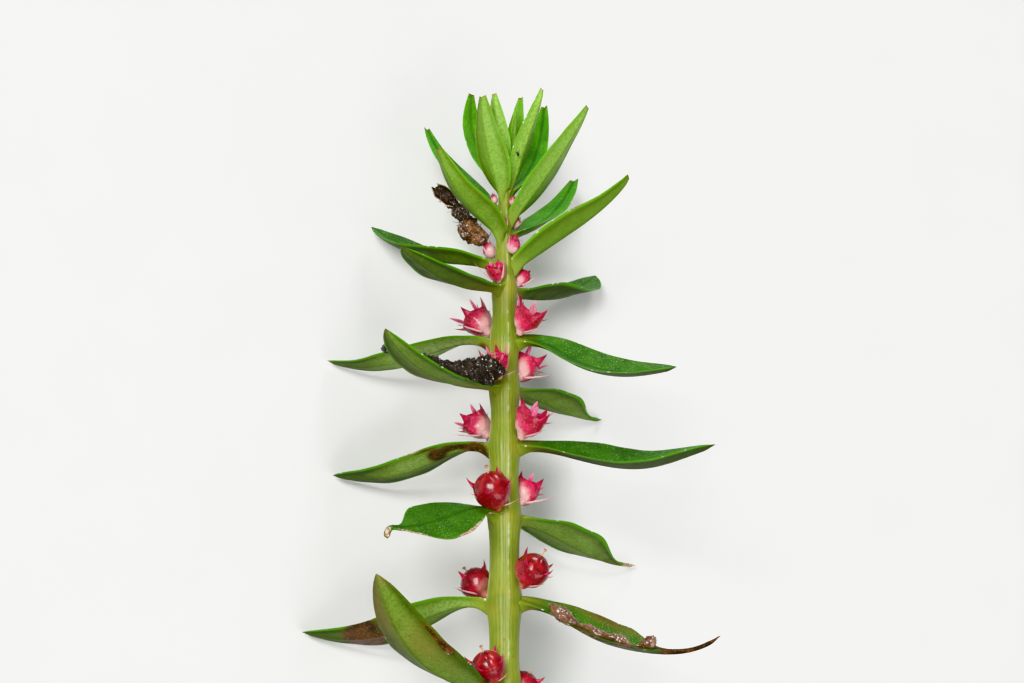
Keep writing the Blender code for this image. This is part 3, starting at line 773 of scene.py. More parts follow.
def leaf_finish(
    name, above, above_light, painted_sparkle, beneath, beneath_light, painted_light_beneath, edge, base, grain_size, red_tip
):
    """A leaf's skin: grained above, paler beneath, with veins, a bright margin, brown places, crusts, and
    painted glints, light and shade.
    """
    skin = Finish(name, 0.38, Subsurface_Weight=0.10, Subsurface_Scale=0.0005, Specular_IOR_Level=0.13)
    run = skin.attribute("run")
    off = skin.attribute("off")
    upper = skin.attribute("upper")
    along = skin.attribute("along")
    rim = skin.attribute("across").abs()
    mottle = skin.noise(0.9, 4)
    fine = skin.noise(0.16, 3)
    grain = skin.cells(grain_size)
    dots = grain.band(0.44, 0.12)
    top = skin.mix(mottle.band(0.30, 0.70), above, above_light)
    # Painted glints: small pale dots on the grain above, standing in for highlights.
    top = skin.mix(dots * fine.band(0.38, 0.56) * 0.85, top, painted_sparkle)
    # Painted shade in the sunken midrib groove above.
    top = skin.mix(off.abs().band(0.20, 0.05) * 0.6, top, (0.012, 0.070, 0.002))
    top = skin.mix(skin.attribute("tender") * 0.75, top, (0.160, 0.370, 0.040))
    # Beneath: the leaf's own pallor mixed with painted light, mottled, with painted shade toward the margins.
    paleness_and_painted_light = skin.attribute("pallor") + mottle * 0.60 - 0.30 - rim.band(0.45, 1.0) * 0.75
    low = skin.mix(paleness_and_painted_light.clamp(), beneath, beneath_light)
    # Leaves set paler than 1 get a brighter painted colour beneath, in place of light.
    low = skin.mix((paleness_and_painted_light - 1).clamp(), low, painted_light_beneath)
    low = skin.mix((dots * skin.attribute("pallor") * 0.32).clamp(), low, beneath_light)
    low = skin.mix(fine.band(0.56, 0.40) * 0.30, low, beneath)
    low = skin.mix(off.abs().band(0.14, 0.04) * 0.35, low, beneath)
    colour = skin.mix(upper, low, top)
    slant = (run * 0.95 - off.abs() * 0.75 + fine * 0.10).frac()
    vein = (slant - 0.5).abs().band(0.05, 0.015) * rim.band(0.95, 0.7)
    colour = skin.mix(vein * 0.10, colour, beneath_light)
    tan = skin.attribute("faded") * (mottle + 0.3)
    colour = skin.mix(tan.clamp() * 0.9, colour, (0.190, 0.135, 0.045))
    margin = rim.band(0.92, 0.98) * upper + rim.band(0.80, 0.93) * (1 - upper)
    colour = skin.mix(margin * skin.attribute("rimmed") * 0.9, colour, edge)
    colour = skin.mix(along.band(0.13, 0.0) * 0.85, colour, base)
    # Painted glints: pale dots along the margin standing in for wet highlights.
    painted_margin_glints = rim.band(0.93, 0.975) * skin.cells(0.45).band(0.25, 0.11)
    colour = skin.mix(painted_margin_glints * 0.85, colour, (0.72, 0.78, 0.58))
    decay = (skin.attribute("browned") * 1.15 + mottle * 0.55 + fine * 0.15 - 0.50).band(0.28, 0.72)
    dead = skin.mix(mottle.band(0.38, 0.58), (0.020, 0.007, 0.003), (0.090, 0.032, 0.010))
    dead = skin.mix(fine.band(0.54, 0.66) * 0.45, dead, (0.30, 0.16, 0.07))
    colour = skin.mix(decay * 0.95, colour, dead)
    crust = (skin.attribute("crusted") * 1.1 + fine * 0.45 + mottle * 0.2 - 0.42).band(0.28, 0.60)
    dry = skin.mix(fine.band(0.40, 0.62), (0.27, 0.18, 0.11), (0.56, 0.45, 0.33))
    colour = skin.mix(crust * 0.9, colour, dry)
    scorched = along.band(0.98, 1.0) * (0.4 + rim * 0.6) * red_tip
    colour = skin.mix(scorched, colour, (0.24, 0.06, 0.022))
    speck = skin.cells(1.3).band(0.07, 0.03) * mottle.band(0.50, 0.58)
    colour = skin.mix(speck * 0.7, colour, (0.09, 0.04, 0.015))
    relief = skin.bump(vein * -0.4 + mottle * 0.6 + crust * 0.8, 0.05, 0.6)
    relief = skin.bump(grain * (0.25 + upper * 0.75) + fine * 0.5, 0.045, 0.85, relief)
    rough = 0.30 + fine * 0.18 + (1 - upper) * 0.12 - decay * 0.12
    return skin.use(Base_Color=colour, Roughness=rough, Normal=relief)


old_skin = leaf_finish(
    "old_leaf",
    above=(0.020, 0.098, 0.004),
    above_light=(0.042, 0.155, 0.007),
    painted_sparkle=(0.210, 0.370, 0.140),
    beneath=(0.030, 0.056, 0.002),
    beneath_light=(0.200, 0.320, 0.060),
    painted_light_beneath=(0.36, 0.48, 0.19),
    edge=(0.075, 0.290, 0.006),
    base=(0.215, 0.262, 0.040),
    grain_size=0.13,
    red_tip=0.0,
)
young_skin = leaf_finish(
    "young_leaf",
    above=(0.035, 0.210, 0.004),
    above_light=(0.070, 0.290, 0.008),
    painted_sparkle=(0.150, 0.400, 0.050),
    beneath=(0.078, 0.150, 0.012),
    beneath_light=(0.225, 0.385, 0.072),
    painted_light_beneath=(0.34, 0.57, 0.11),
    edge=(0.145, 0.390, 0.030),
    base=(0.215, 0.285, 0.050),
    grain_size=0.12,
    red_tip=0.85,
)


def leaf_seat(leaf):
    """A leaf's place on the stem."""
    seat = Matrix.Translation((0, PAIR_HEIGHTS[leaf.pair - 1] + leaf.lift, 0))
    return shoot @ seat @ Matrix.Rotation(-math.radians(leaf.bearing[0]), 4, "Y")


def place_leaf(leaf, young, seed):
    body = blade(leaf, young, seed)
    mesh = mesh_of(leaf.name + "_blade", body, young_skin if young else old_skin)
    mesh.transform(leaf_seat(leaf))
    piece = added(mesh.name, mesh)
    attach(piece, "root")
    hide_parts(leaf.name)


for number, leaf in enumerate(OLD_LEAVES):
    place_leaf(leaf, False, number * SEED_STEP)
for number, leaf in enumerate(YOUNG_LEAVES):
    place_leaf(leaf, True, YOUNG_SEED + number * SEED_STEP)

# Fruits, flowers and buds: one in each axil of the lower ten pairs, on hardly any stalk. A fleshy cup holds
# a shiny capsule, or a red heart and four pink petals, with sepals and bristles round its rim and two pale
# needles beside its foot. The cups are turned bodies, and every ring of parts grows from one repeated part.
BLOOM_FIELDS = "name pair bearing rise radius lean kind opened twist upright"
Bloom = namedtuple("Bloom", BLOOM_FIELDS, defaults=(1.0, 0.0, 0.0))
# Bearing and lean are in degrees, rise and radius in millimetres. Opened scales the sepals and petals. Twist
# turns the needles round the foot and upright raises them, both in radians. Raised needles stand further out
# and higher, and they are longer and broader.
BLOOMS = (
    Bloom("fruit_1_front", 1, 118, 1.05, 1.00, 40, "fruit"),
    Bloom("fruit_1_back", 1, -55, 0.55, 0.90, 40, "fruit"),
    Bloom("fruit_2_left", 2, 212, 1.42, 0.96, 40, "fruit"),
    Bloom("fruit_2_right", 2, 35, 1.75, 1.02, 40, "fruit", 1.0, 0.8),
    Bloom("fruit_3_front", 3, 110, 1.12, 1.12, 40, "fruit"),
    Bloom("flower_3_back", 3, -48, 1.70, 0.85, 35, "flower", 0.85),
    Bloom("flower_4_left", 4, 208, 1.52, 0.90, 42, "flower", 0.75),
    Bloom("flower_4_right", 4, 38, 1.30, 1.00, 36, "flower", 0.75, 0.8),
    Bloom("flower_5_front", 5, 106, 1.10, 0.80, 40, "flower", 0.9),
    Bloom("flower_5_back", 5, -52, 1.62, 0.92, 36, "flower", 0.95),
    Bloom("flower_6_left", 6, 208, 1.38, 0.92, 42, "flower"),
    Bloom("flower_6_right", 6, 38, 1.15, 0.90, 36, "flower", 0.9, 0.8),
    Bloom("flower_7_front", 7, 112, 0.85, 0.62, 36, "flower", 0.5, 0.0, 0.5),
    Bloom("flower_7_back", 7, -44, 1.02, 0.60, 30, "flower", 0.55, 0.35, 0.6),
    Bloom("flower_8_left", 8, 205, 0.98, 0.42, 24, "bud"),
    Bloom("flower_8_right", 8, 58, 0.98, 0.42, 20, "bud"),
    Bloom("bud_9_front", 9, 95, 0.55, 0.28, 20, "bud"),
    Bloom("bud_9_back", 9, -32, 0.92, 0.32, 20, "bud"),
    Bloom("bud_10_left", 10, 193, 1.05, 0.24, 14, "bud"),
    Bloom("bud_10_right", 10, 38, 0.75, 0.22, 14, "bud"),
)
BLOOM_GAP = 0.05
BLOOM_ROWS = 30
BLOOM_RING = 56
STYLE_RING = 14
FOOTING_RING = 20
SEPALS = 4
SPREAD = 0.22
RAISED_SHIFT = 0.26
RAISED_GROWTH = 0.5
BODY_SEED_STEP = 2.3
WHORL_SEED_STEP = 5

WET = {"Coat_Weight": 0.35, "Coat_Roughness": 0.09, "Specular_IOR_Level": 0.3}
FLESH = {"Subsurface_Weight": 0.18, "Subsurface_Scale": 0.0004}

ripe = Finish("ripe_capsule", 0.2, **WET, **FLESH)
ripe_mottle = ripe.noise(0.45, 4)
ripe_streak = ripe.noise(0.12, 3)
ripe_colour = ripe.mix(ripe_mottle.band(0.35, 0.66), (0.125, 0.004, 0.007), (0.30, 0.012, 0.015))
ripe_colour = ripe.mix(ripe_streak.band(0.52, 0.74) * 0.35, ripe_colour, (0.46, 0.035, 0.040))
pits = ripe.cells(0.20).band(0.12, 0.04)
ripe_colour = ripe.mix(pits * 0.25, ripe_colour, (0.55, 0.10, 0.10))
ripe_bump = ripe.bump(ripe_mottle + ripe_streak * 0.35 + pits * 0.15, 0.07, 0.8)
ripe_skin = ripe.use(Base_Color=ripe_colour, Roughness=0.24 + ripe_mottle * 0.25, Normal=ripe_bump)


def cup_finish(name, pale, red, deep, pale_end, deep_start):
    """A cup's skin: pale at the foot and toward the stem, deep red near the rim, wet and finely pitted, with
    painted glints on the pits.
    """
    skin = Finish(name, 0.28, **WET, **FLESH)
    mottle = skin.noise(0.35, 4)
    streak = skin.noise(0.10, 3)
    height = skin.attribute("height") + skin.attribute("outward") * 0.42 + mottle * 0.8 - 0.4
    colour = skin.mix(height.band(pale_end - 0.6, pale_end), pale, red)
    colour = skin.mix(height.band(deep_start, deep_start + 0.6), colour, deep)
    colour = skin.mix(streak.band(0.50, 0.74) * 0.25, colour, pale)
    # Painted glints: small pale spots on the fine pits; the same cells also raise the pits.
    painted_glint_cells = skin.cells(0.24).band(0.22, 0.06)
    colour = skin.mix(painted_glint_cells * 0.15, colour, pale)
    relief = skin.bump(mottle + streak * 0.3 + painted_glint_cells * 0.4, 0.07, 0.8)
    return skin.use(Base_Color=colour, Roughness=0.22 + mottle * 0.28, Normal=relief)


FRUIT_PALE = (0.50, 0.17, 0.14)
FLOWER_PALE = (0.78, 0.41, 0.40)
BUD_PALE = (0.66, 0.38, 0.37)
fruit_cup = cup_finish("fruit_cup", FRUIT_PALE, (0.36, 0.012, 0.030), (0.20, 0.004, 0.010), -0.50, -0.45)
flower_cup = cup_finish("flower_cup", FLOWER_PALE, (0.56, 0.035, 0.10), (0.32, 0.008, 0.028), -0.20, -0.20)
bud_skin = cup_finish("bud_skin", BUD_PALE, (0.52, 0.07, 0.14), (0.22, 0.010, 0.030), 0.40, 0.60)


def part_finish(name, foot, tip, light, turn_at):
    """The skin of sepals, petals and needles, from a foot colour to a tip colour."""
    skin = Finish(name, 0.32, **FLESH)
    mottle = skin.noise(0.18, 3)
    colour = skin.mix(skin.attribute("reach").band(turn_at, 1.0), foot, tip)
    colour = skin.mix(mottle.band(0.48, 0.75) * 0.5, colour, light)
    relief = skin.bump(mottle, 0.03, 0.6)
    return skin.use(Base_Color=colour, Roughness=0.2 + mottle * 0.25, Normal=relief)


sepal_skin = part_finish("sepal", (0.46, 0.012, 0.06), (0.19, 0.005, 0.022), (0.72, 0.10, 0.20), 0.1)
petal_skin = part_finish("petal", (0.58, 0.07, 0.19), (0.70, 0.17, 0.31), (0.82, 0.38, 0.48), 0.0)
needle_skin = part_finish("needle", (0.70, 0.40, 0.40), (0.52, 0.19, 0.27), (0.90, 0.74, 0.73), 0.4)

style = Finish("style", 0.4, **FLESH)
style_mottle = style.noise(0.1, 3)
style_colour = style.mix(style.attribute("height").band(0.40, 0.50), (0.52, 0.31, 0.19), (0.22, 0.085, 0.030))
style_colour = style.mix(style_mottle.band(0.5, 0.7) * 0.4, style_colour, (0.62, 0.40, 0.24))
style_skin = style.use(Base_Color=style_colour, Roughness=0.3 + style_mottle * 0.2)

WHORL_NUMBERS = "Sweep Phase Ring Height Length Width Flatness Belly Blunt Lean Curl Spread"
whorl = Shaper("whorl", WHORL_NUMBERS, "Count Seed")
rod = whorl.rod(10, 12)
rod_x, rod_y, rod_z = whorl.position()
reached = (rod_z + 0.5).clamp()
bend = whorl.take("Curl") + 0.001
swing = bend * reached
filled = (reached + 0.02) ** whorl.take("Belly") * (1 - reached ** whorl.take("Blunt"))
taper = filled * whorl.take("Width") * 0.5
thin = rod_x * taper * whorl.take("Flatness")
length = whorl.take("Length")
bent = whorl.vector(
    length * (1 - swing.cos()) / bend + thin * swing.cos(),
    rod_y * taper,
    length * swing.sin() / bend - thin * swing.sin(),
)
rod = whorl.stored(rod, "reach", reached)
rod = whorl.moved(rod, bent)
rod = whorl.node("GeometryNodeMergeByDistance", {}, {"Geometry": rod, "Distance": 0.002})
count = whorl.take("Count")
seats = whorl.node("GeometryNodePoints", {}, {"Count": count})
index = whorl.node("GeometryNodeInputIndex", {}, {})
spread = whorl.take("Spread")
seed = whorl.take("Seed")
turn = whorl.take("Phase") + index * whorl.take("Sweep") / count + whorl.random(-0.5, 0.5, seed) * spread
ring_size = whorl.take("Ring")
seats = whorl.moved(seats, whorl.vector(turn.cos() * ring_size, turn.sin() * ring_size, whorl.take("Height")))
tilt = whorl.take("Lean") + whorl.random(-1.0, 1.0, seed + 7) * spread
size = 1 + whorl.random(-1.0, 0.6, seed + 13) * spread * 0.6
scale = whorl.vector(size, size, size)
spikes = whorl.repeated(seats, rod, whorl.vector(0.0, tilt, turn), scale)
whorl.end(whorl.joined(whorl.finished(spikes), whorl.take("Geometry")))

Whorl = namedtuple(
    "Whorl", "count sweep phase ring height length width flatness belly blunt lean curl material"
)
FULL = 2 * math.pi
EIGHTH = math.pi / 4
# Rings of sepals, of bristles, of petals and of needles: how many, over what sweep and from where round the
# cup, ring radius and height as shares of the cup's radius, then the shape, lean and curl of each part
WHORLS = {
    "fruit": (
        Whorl(4, FULL, 0.0, 0.95, 0.28, 0.68, 0.48, 0.25, 0.0, 0.85, 0.90, -0.7, sepal_skin),
        Whorl(4, FULL, EIGHTH, 0.98, 0.10, 0.36, 0.08, 0.70, 0.0, 1.2, 1.15, -0.5, sepal_skin),
        Whorl(1, FULL, 2.4, 0.88, 0.42, 0.62, 0.38, 0.14, 0.45, 2.5, -0.30, -0.5, petal_skin),
        Whorl(2, 4.5, -1.13, 0.40, -0.90, 1.80, 0.22, 0.50, 0.12, 1.2, 1.25, -0.35, needle_skin),
    ),
    "flower": (
        Whorl(4, FULL, 0.0, 0.88, 0.34, 1.04, 0.82, 0.12, 0.0, 0.80, 0.62, -0.35, sepal_skin),
        Whorl(4, FULL, EIGHTH, 0.94, 0.30, 0.55, 0.10, 0.70, 0.0, 1.2, 1.1, -0.3, sepal_skin),
        Whorl(4, FULL, EIGHTH, 0.74, 0.30, 1.20, 0.56, 0.26, 0.40, 1.7, 0.34, 0.20, petal_skin),
        Whorl(2, 4.5, -1.13, 0.40, -0.92, 2.20, 0.26, 0.50, 0.12, 1.2, 1.22, -0.30, needle_skin),
    ),
    "bud": (
        Whorl(4, FULL, 0.0, 0.55, 0.85, 0.95, 0.66, 0.25, 0.0, 0.9, 0.05, -0.55, sepal_skin),
        Whorl(2, 4.5, -1.13, 0.70, -0.95, 2.6, 0.34, 0.40, 0.15, 1.3, 0.45, -0.3, needle_skin),
    ),
}
# Outlines of the turned bodies: radius and height from crown to foot, as shares of the cup's radius
CAPSULE = (
    (0, 1.0), (0.16, 0.985), (0.45, 0.88), (0.78, 0.60), (0.97, 0.16),
    (0.94, -0.30), (0.70, -0.70), (0.35, -0.93), (0, -1.0),
)
FRUIT_CUP = (
    (0, -0.90), (0.68, -0.66), (0.94, -0.25), (0.985, 0.05), (1.01, 0.06),
    (0.985, -0.26), (0.75, -0.70), (0.40, -0.95), (0, -1.02),
)
FLOWER_CUP = (
    (0, -0.2), (0.62, -0.1), (0.80, 0.16), (0.90, 0.40), (0.95, 0.42),
    (0.93, 0.08), (0.80, -0.36), (0.52, -0.80), (0, -1.05),
)
FLOWER_HEART = (
    (0, 0.42), (0.20, 0.40), (0.44, 0.33), (0.62, 0.18),
    (0.70, 0.0), (0.66, -0.14), (0.40, -0.22), (0, -0.24),
)
BUD = (
    (0, 1.50), (0.16, 1.44), (0.42, 1.22), (0.74, 0.80), (0.95, 0.30),
    (1.0, -0.20), (0.84, -0.70), (0.50, -1.10), (0, -1.30),
)
STYLE = (
    (0, 0.50), (0.07, 0.49), (0.11, 0.44), (0.09, 0.38),
    (0.045, 0.34), (0.04, 0.2), (0.05, 0.05), (0, -0.05),
)
FOOTING = ((0, -0.60), (0.46, -0.72), (0.40, -0.90), (0.27, -1.08), (0.17, -1.24), (0, -1.27))
CAPSULE_SEAM = 0.07
SEAM_START = -0.4
SEAM_SHARPNESS = 6
LOBE_DEPTH = 0.7
LOBE_SHARPNESS = 1.5
UNEVEN_SIZE = 0.625


def turned(profile, material, ring=BLOOM_RING, seed=0.0, rough=0.0, lobes=0.0, seam=0.0, rise=0.0):
    """A closed turned body of unit size. Lobes draw its rim up into four points, seams run to its crown."""
    profile = np.asarray(profile, float)
    share = np.linspace(0, 1, BLOOM_ROWS + 1)[:, None]
    radius = smooth(profile[:, 0], share)
    height = smooth(profile[:, 1], share)
    turn = np.linspace(0, 2 * np.pi, ring, endpoint=False)
    across, beside = np.cos(turn), np.sin(turn)
    uneven = rough * soft_noise(across / UNEVEN_SIZE + seed, beside / UNEVEN_SIZE, height / UNEVEN_SIZE)
    point = 1 - np.abs(((turn * SEPALS / (2 * np.pi) + 0.5) % 1) - 0.5) * 2
    groove = seam * np.clip(height - SEAM_START, 0, 1) * (1 - point) ** SEAM_SHARPNESS
    radii = np.maximum(radius, 0) * (1 + uneven - groove)
    rimward = np.clip((height - height.max()) / LOBE_DEPTH + 1, 0, 1)
    heights = height * (1 - groove) + lobes * rimward * point**LOBE_SHARPNESS
    rings = np.stack([radii * across, radii * beside, heights + rise], axis=2)
    return mesh_of("turned", loft(rings, height=heights, outward=across), material)


def joined_mesh(name, bodies):
    """One mesh of several, each keeping its own finish."""
    whole = bmesh.new()
    mesh = bpy.data.meshes.new(name)
    for number, body in enumerate(bodies):
        first = len(whole.faces)
        whole.from_mesh(body)
        whole.faces.ensure_lookup_table()
        for face in whole.faces[first:]:
            face.material_index = number
        mesh.materials.append(body.materials[0])
        bpy.data.meshes.remove(body)
    whole.to_mesh(mesh)
    whole.free()
    return mesh


def bloom_bodies(kind, seed):
    """The turned bodies of a fruit, a flower or a bud."""
    if kind == "fruit":
        return [
            turned(CAPSULE, ripe_skin, seed=seed, rough=0.07, seam=CAPSULE_SEAM),
            turned(FRUIT_CUP, fruit_cup, seed=seed, rough=0.07, lobes=0.40),
            turned(STYLE, style_skin, ring=STYLE_RING, rise=0.96),
            turned(FOOTING, fruit_cup, ring=FOOTING_RING),
        ]
    if kind == "flower":
        return [
            turned(FLOWER_HEART, ripe_skin, seed=seed, rough=0.16),
            turned(FLOWER_CUP, flower_cup, seed=seed, rough=0.10, lobes=0.22),
            turned(STYLE, style_skin, ring=STYLE_RING, rise=0.40),
            turned(FOOTING, flower_cup, ring=FOOTING_RING),
        ]
    return [turned(BUD, bud_skin, seed=seed, rough=0.10), turned(FOOTING, flower_cup, ring=FOOTING_RING)]


def place_bloom(bloom, number):
    bodies = bloom_bodies(bloom.kind, number * BODY_SEED_STEP)
    source = bpy.data.objects.new(bloom.name + "_source", joined_mesh(bloom.name, bodies))
    for row in WHORLS[bloom.kind]:
        values = {name.capitalize(): value for name, value in row._asdict().items()}
        if row.material is needle_skin:
            values["Phase"] += bloom.twist
            values["Lean"] -= bloom.upright
            values["Ring"] += bloom.upright * RAISED_SHIFT
            values["Height"] += bloom.upright * RAISED_SHIFT
            values["Length"] *= 1 + bloom.upright * RAISED_GROWTH
            values["Width"] *= 1 + bloom.upright
        else:
            values["Length"] *= bloom.opened
        grow(source, whorl.tree, Seed=number * WHORL_SEED_STEP + 1, Spread=SPREAD, **values)
    bearing = math.radians(bloom.bearing)
    height = PAIR_HEIGHTS[bloom.pair - 1] + bloom.rise
    off = stem_radius(height) + bloom.radius + BLOOM_GAP
    seat = Matrix.Translation((off * math.cos(bearing), height, off * math.sin(bearing)))
    faced = Matrix.Rotation(-bearing, 4, "Y")
    leaned = Matrix.Rotation(-math.radians(bloom.lean), 4, "Z")
    stood = Matrix.Rotation(-math.pi / 2, 4, "X")
    place = shoot @ seat @ faced @ leaned @ stood @ Matrix.Scale(bloom.radius, 4)
    piece = settled(source, bloom.name + "_bloom", place)
    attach(piece, "root")
    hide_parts(bloom.name)


for number, bloom in enumerate(BLOOMS):
    place_bloom(bloom, number)

# Dirt caught on the shoot: a wet black clump and a speck on one leaf, drying mud on another, a scrap of
# rotted leaf below the crown and one stray grain. Each is one or more lumpy bodies, strewn with crumbs and
# loose fibres.
CRUMB_SCALE = ((0.5, 0.5, 0.5), (1.2, 1.2, 1.2))
SMEAR_ROWS = 70
SMEAR_COLUMNS = 26
SMEAR_SUNK = 0.05
SMEAR_RAGGED = 0.3
RAGGED_STEP = 0.21
SMEAR_LUMP_DEPTH = 0.35
SMEAR_LUMP_SIZE = 0.5
SMEAR_GRAIN_DEPTH = 0.12
SMEAR_GRAIN_SIZE = 0.16
SMEAR_LEAST = 0.01
TUBE_END = 0.08
TUBE_TIP = 0.003
TUBE_LUMP_SIZE = 0.45
LUMPS_RING = 30
SHRED_ROWS = 24
SHRED_COLUMNS = 30
SHRED_THICKNESS = 0.05
SHRED_FRAY = 0.35
SHRED_TEETH = 1.7
SHRED_BOW = 0.25

grit = Shaper("grit", "Crumbs Crumb Fibres Fibre", "Seed")
ground = grit.take("Geometry")
seed = grit.take("Seed")
random_vector = {"data_type": "FLOAT_VECTOR"}


def strewn(density, shape, size, seed):
    """A shape strewn over the ground, turned and sized by chance."""
    over = {"Mesh": ground, "Density": density, "Seed": seed}
    seats = grit.node("GeometryNodeDistributePointsOnFaces", {"distribute_method": "RANDOM"}, over)
    any_turn = {0: (0.0, 0.0, 0.0), 1: (FULL, FULL, FULL), "Seed": seed}
    turn = grit.node("FunctionNodeRandomValue", random_vector, any_turn)
    any_size = {0: CRUMB_SCALE[0], 1: CRUMB_SCALE[1], "Seed": seed + 3}
    uneven = grit.node("FunctionNodeRandomValue", random_vector, any_size)
    sized = {0: uneven, 1: grit.vector(size, size, size)}
    scale = grit.node("ShaderNodeVectorMath", {"operation": "MULTIPLY"}, sized)
    return grit.repeated(seats, shape, turn, scale)


crumb = grit.node("GeometryNodeMeshIcoSphere", {}, {"Radius": 1.0, "Subdivisions": 1})
crumbs = strewn(grit.take("Crumbs"), crumb, grit.take("Crumb"), seed)
strand = grit.rod(5, 8)
strand_x, strand_y, strand_z = grit.position()
strand_reach = strand_z + 0.5
thick = 0.035 - strand_reach * 0.022
strand_bend = (strand_reach * 2.6).sin() * 0.3
strand = grit.moved(strand, grit.vector(strand_x * thick + strand_bend, strand_y * thick, strand_reach - 0.2))
fibres = strewn(grit.take("Fibres"), strand, grit.take("Fibre"), seed + 5)
grit.end(grit.joined(grit.finished(grit.joined(crumbs, fibres)), ground))


def dirt_finish(name, dark, light, fresh, wetness, painted_shine, coarse):
    """Dirt: mottled from dark to light, with white glints painted on its high grains as highlights."""
    skin = Finish(name, 0.3, Coat_Weight=wetness, Coat_Roughness=0.05, Specular_IOR_Level=0.35)
    broad = skin.noise(0.7, 4)
    grain = skin.noise(0.14, 4)
    pebble = skin.cells(0.10)
    colour = skin.mix(broad.band(0.38, 0.64), dark, light)
    colour = skin.mix(grain.band(0.48, 0.68) * 0.5, colour, fresh)
    colour = skin.mix(skin.attribute("rim") * 0.8, colour, (0.42, 0.32, 0.20))
    # Painted glints: white dots standing in for highlights on the wet grains.
    painted_glint = skin.cells(0.24).band(0.20, 0.10) * skin.noise(0.8, 2).band(0.44, 0.53)
    colour = skin.mix(painted_glint * painted_shine, colour, (0.82, 0.82, 0.80))
    relief = skin.bump(broad + grain * 0.8, coarse, 0.8)
    relief = skin.bump(pebble, coarse * 0.3, 0.7, relief)
    return skin.use(Base_Color=colour, Roughness=0.20 + grain * 0.25, Normal=relief)


CLUMP_COLOURS = ((0.007, 0.0045, 0.003), (0.022, 0.013, 0.007), (0.065, 0.042, 0.022))
MUD_COLOURS = ((0.110, 0.049, 0.026), (0.190, 0.094, 0.054), (0.32, 0.185, 0.115))
LUMP_COLOURS = ((0.045, 0.018, 0.008), (0.230, 0.105, 0.045), (0.42, 0.25, 0.14))
HUSK_COLOURS = ((0.010, 0.005, 0.003), (0.045, 0.022, 0.011), (0.160, 0.105, 0.060))
clump_skin = dirt_finish("clump", *CLUMP_COLOURS, wetness=0.3, painted_shine=1.0, coarse=0.08)
mud_skin = dirt_finish("mud", *MUD_COLOURS, wetness=0.8, painted_shine=0.7, coarse=0.045)
lump_skin = dirt_finish("lump", *LUMP_COLOURS, wetness=0.6, painted_shine=0.6, coarse=0.05)
husk_skin = dirt_finish("husk", *HUSK_COLOURS, wetness=0.6, painted_shine=0.7, coarse=0.07)


@np.vectorize
def rough_noise(x, y, z):
    """Rough random values of about -1 to 1, one for each point."""
    return noise.fractal(Vector((x, y, z)), 0.8, 2.2, 4)


def rough_over(points, size, seed):
    """Rough random values over a table of points, at a grain size."""
    x, y, z = np.moveaxis(points / size, -1, 0)
    return rough_noise(x + seed, y, z)


def on_leaf(leaf, share, across, height):
    """Points at a height over an old leaf's upper face, in the leaf's own frame, in rows along the leaf."""
    _, side, up = (direction[:, None, :] for direction in blade_frame(leaf, share))
    half = half_width(leaf, share, OLD_OUTLINE)[:, None]
    fold = np.radians(smooth(leaf.fold, share))[:, None]
    keel = np.hypot(across, KEEL_ROUNDING) - KEEL_ROUNDING
    level = half * np.sin(fold) * keel + OLD_THICKNESS / 2 * (1 - 0.5 * np.minimum(across**2, 1))
    sideways = side * (half * across * np.cos(fold))[..., None]
    return midline(leaf, share)[:, None, :] + sideways + up * (level + height)[..., None]


def smear(leaf, ends, sides, heights, seed):
    """A lumpy heap on a leaf's upper face: where it ends, its two sides and its height from end to end."""
    share = np.linspace(*ends, SMEAR_ROWS)
    u = np.linspace(0, 1, SMEAR_ROWS)[:, None]
    v = np.linspace(0, 1, SMEAR_COLUMNS)
    ragged = SMEAR_RAGGED * soft_noise(RAGGED_STEP * np.arange(SMEAR_ROWS)[:, None], seed, 0)
    low, high = (smooth(side, u) for side in sides)
    across = (high + low) / 2 + (high - low) / 2 * (1 + ragged) * (2 * v - 1)
    face = on_leaf(leaf, share, across, 0)
    dome = np.sin(np.pi * u).clip(0, 1) ** 0.3 * np.sin(np.pi * v).clip(0, 1) ** 0.5
    rise = smooth(heights, u) * dome * (1 + SMEAR_LUMP_DEPTH * rough_over(face, SMEAR_LUMP_SIZE, seed))
    rise = rise + SMEAR_GRAIN_DEPTH * dome * rough_over(face, SMEAR_GRAIN_SIZE, seed + 9)
    top = on_leaf(leaf, share, across, np.maximum(rise, SMEAR_LEAST))
    bottom = on_leaf(leaf, share, across, -SMEAR_SUNK)
    return loft(np.concatenate([top, bottom[:, ::-1]], axis=1))


def tube(path, radii, rows, around, lumpy, seed):
    """A lumpy closed tube along a smooth line through points."""
    share = np.linspace(0, 1, rows)
    path = np.asarray(path, float)
    centre = np.stack([smooth(path[:, axis], share) for axis in range(3)], axis=1)
    heading = unit(np.gradient(centre, axis=0))
    first = unit(np.cross(heading, (0.0, 0.0, 1.0)))
    second = np.cross(heading, first)
    turn = np.linspace(0, 2 * np.pi, around, endpoint=False)[:, None]
    outward = first[:, None, :] * np.cos(turn) + second[:, None, :] * np.sin(turn)
    first_end, last_end = (np.clip(way / TUBE_END, TUBE_TIP, 1) for way in (share, 1 - share))
    ends = np.sqrt(first_end * last_end)
    outward = outward * (smooth(radii, share) * ends)[:, None, None]
    centre = centre[:, None, :]
    swell = 1 + lumpy * rough_over(centre + outward, TUBE_LUMP_SIZE, seed)
    return loft(centre + outward * swell[..., None])


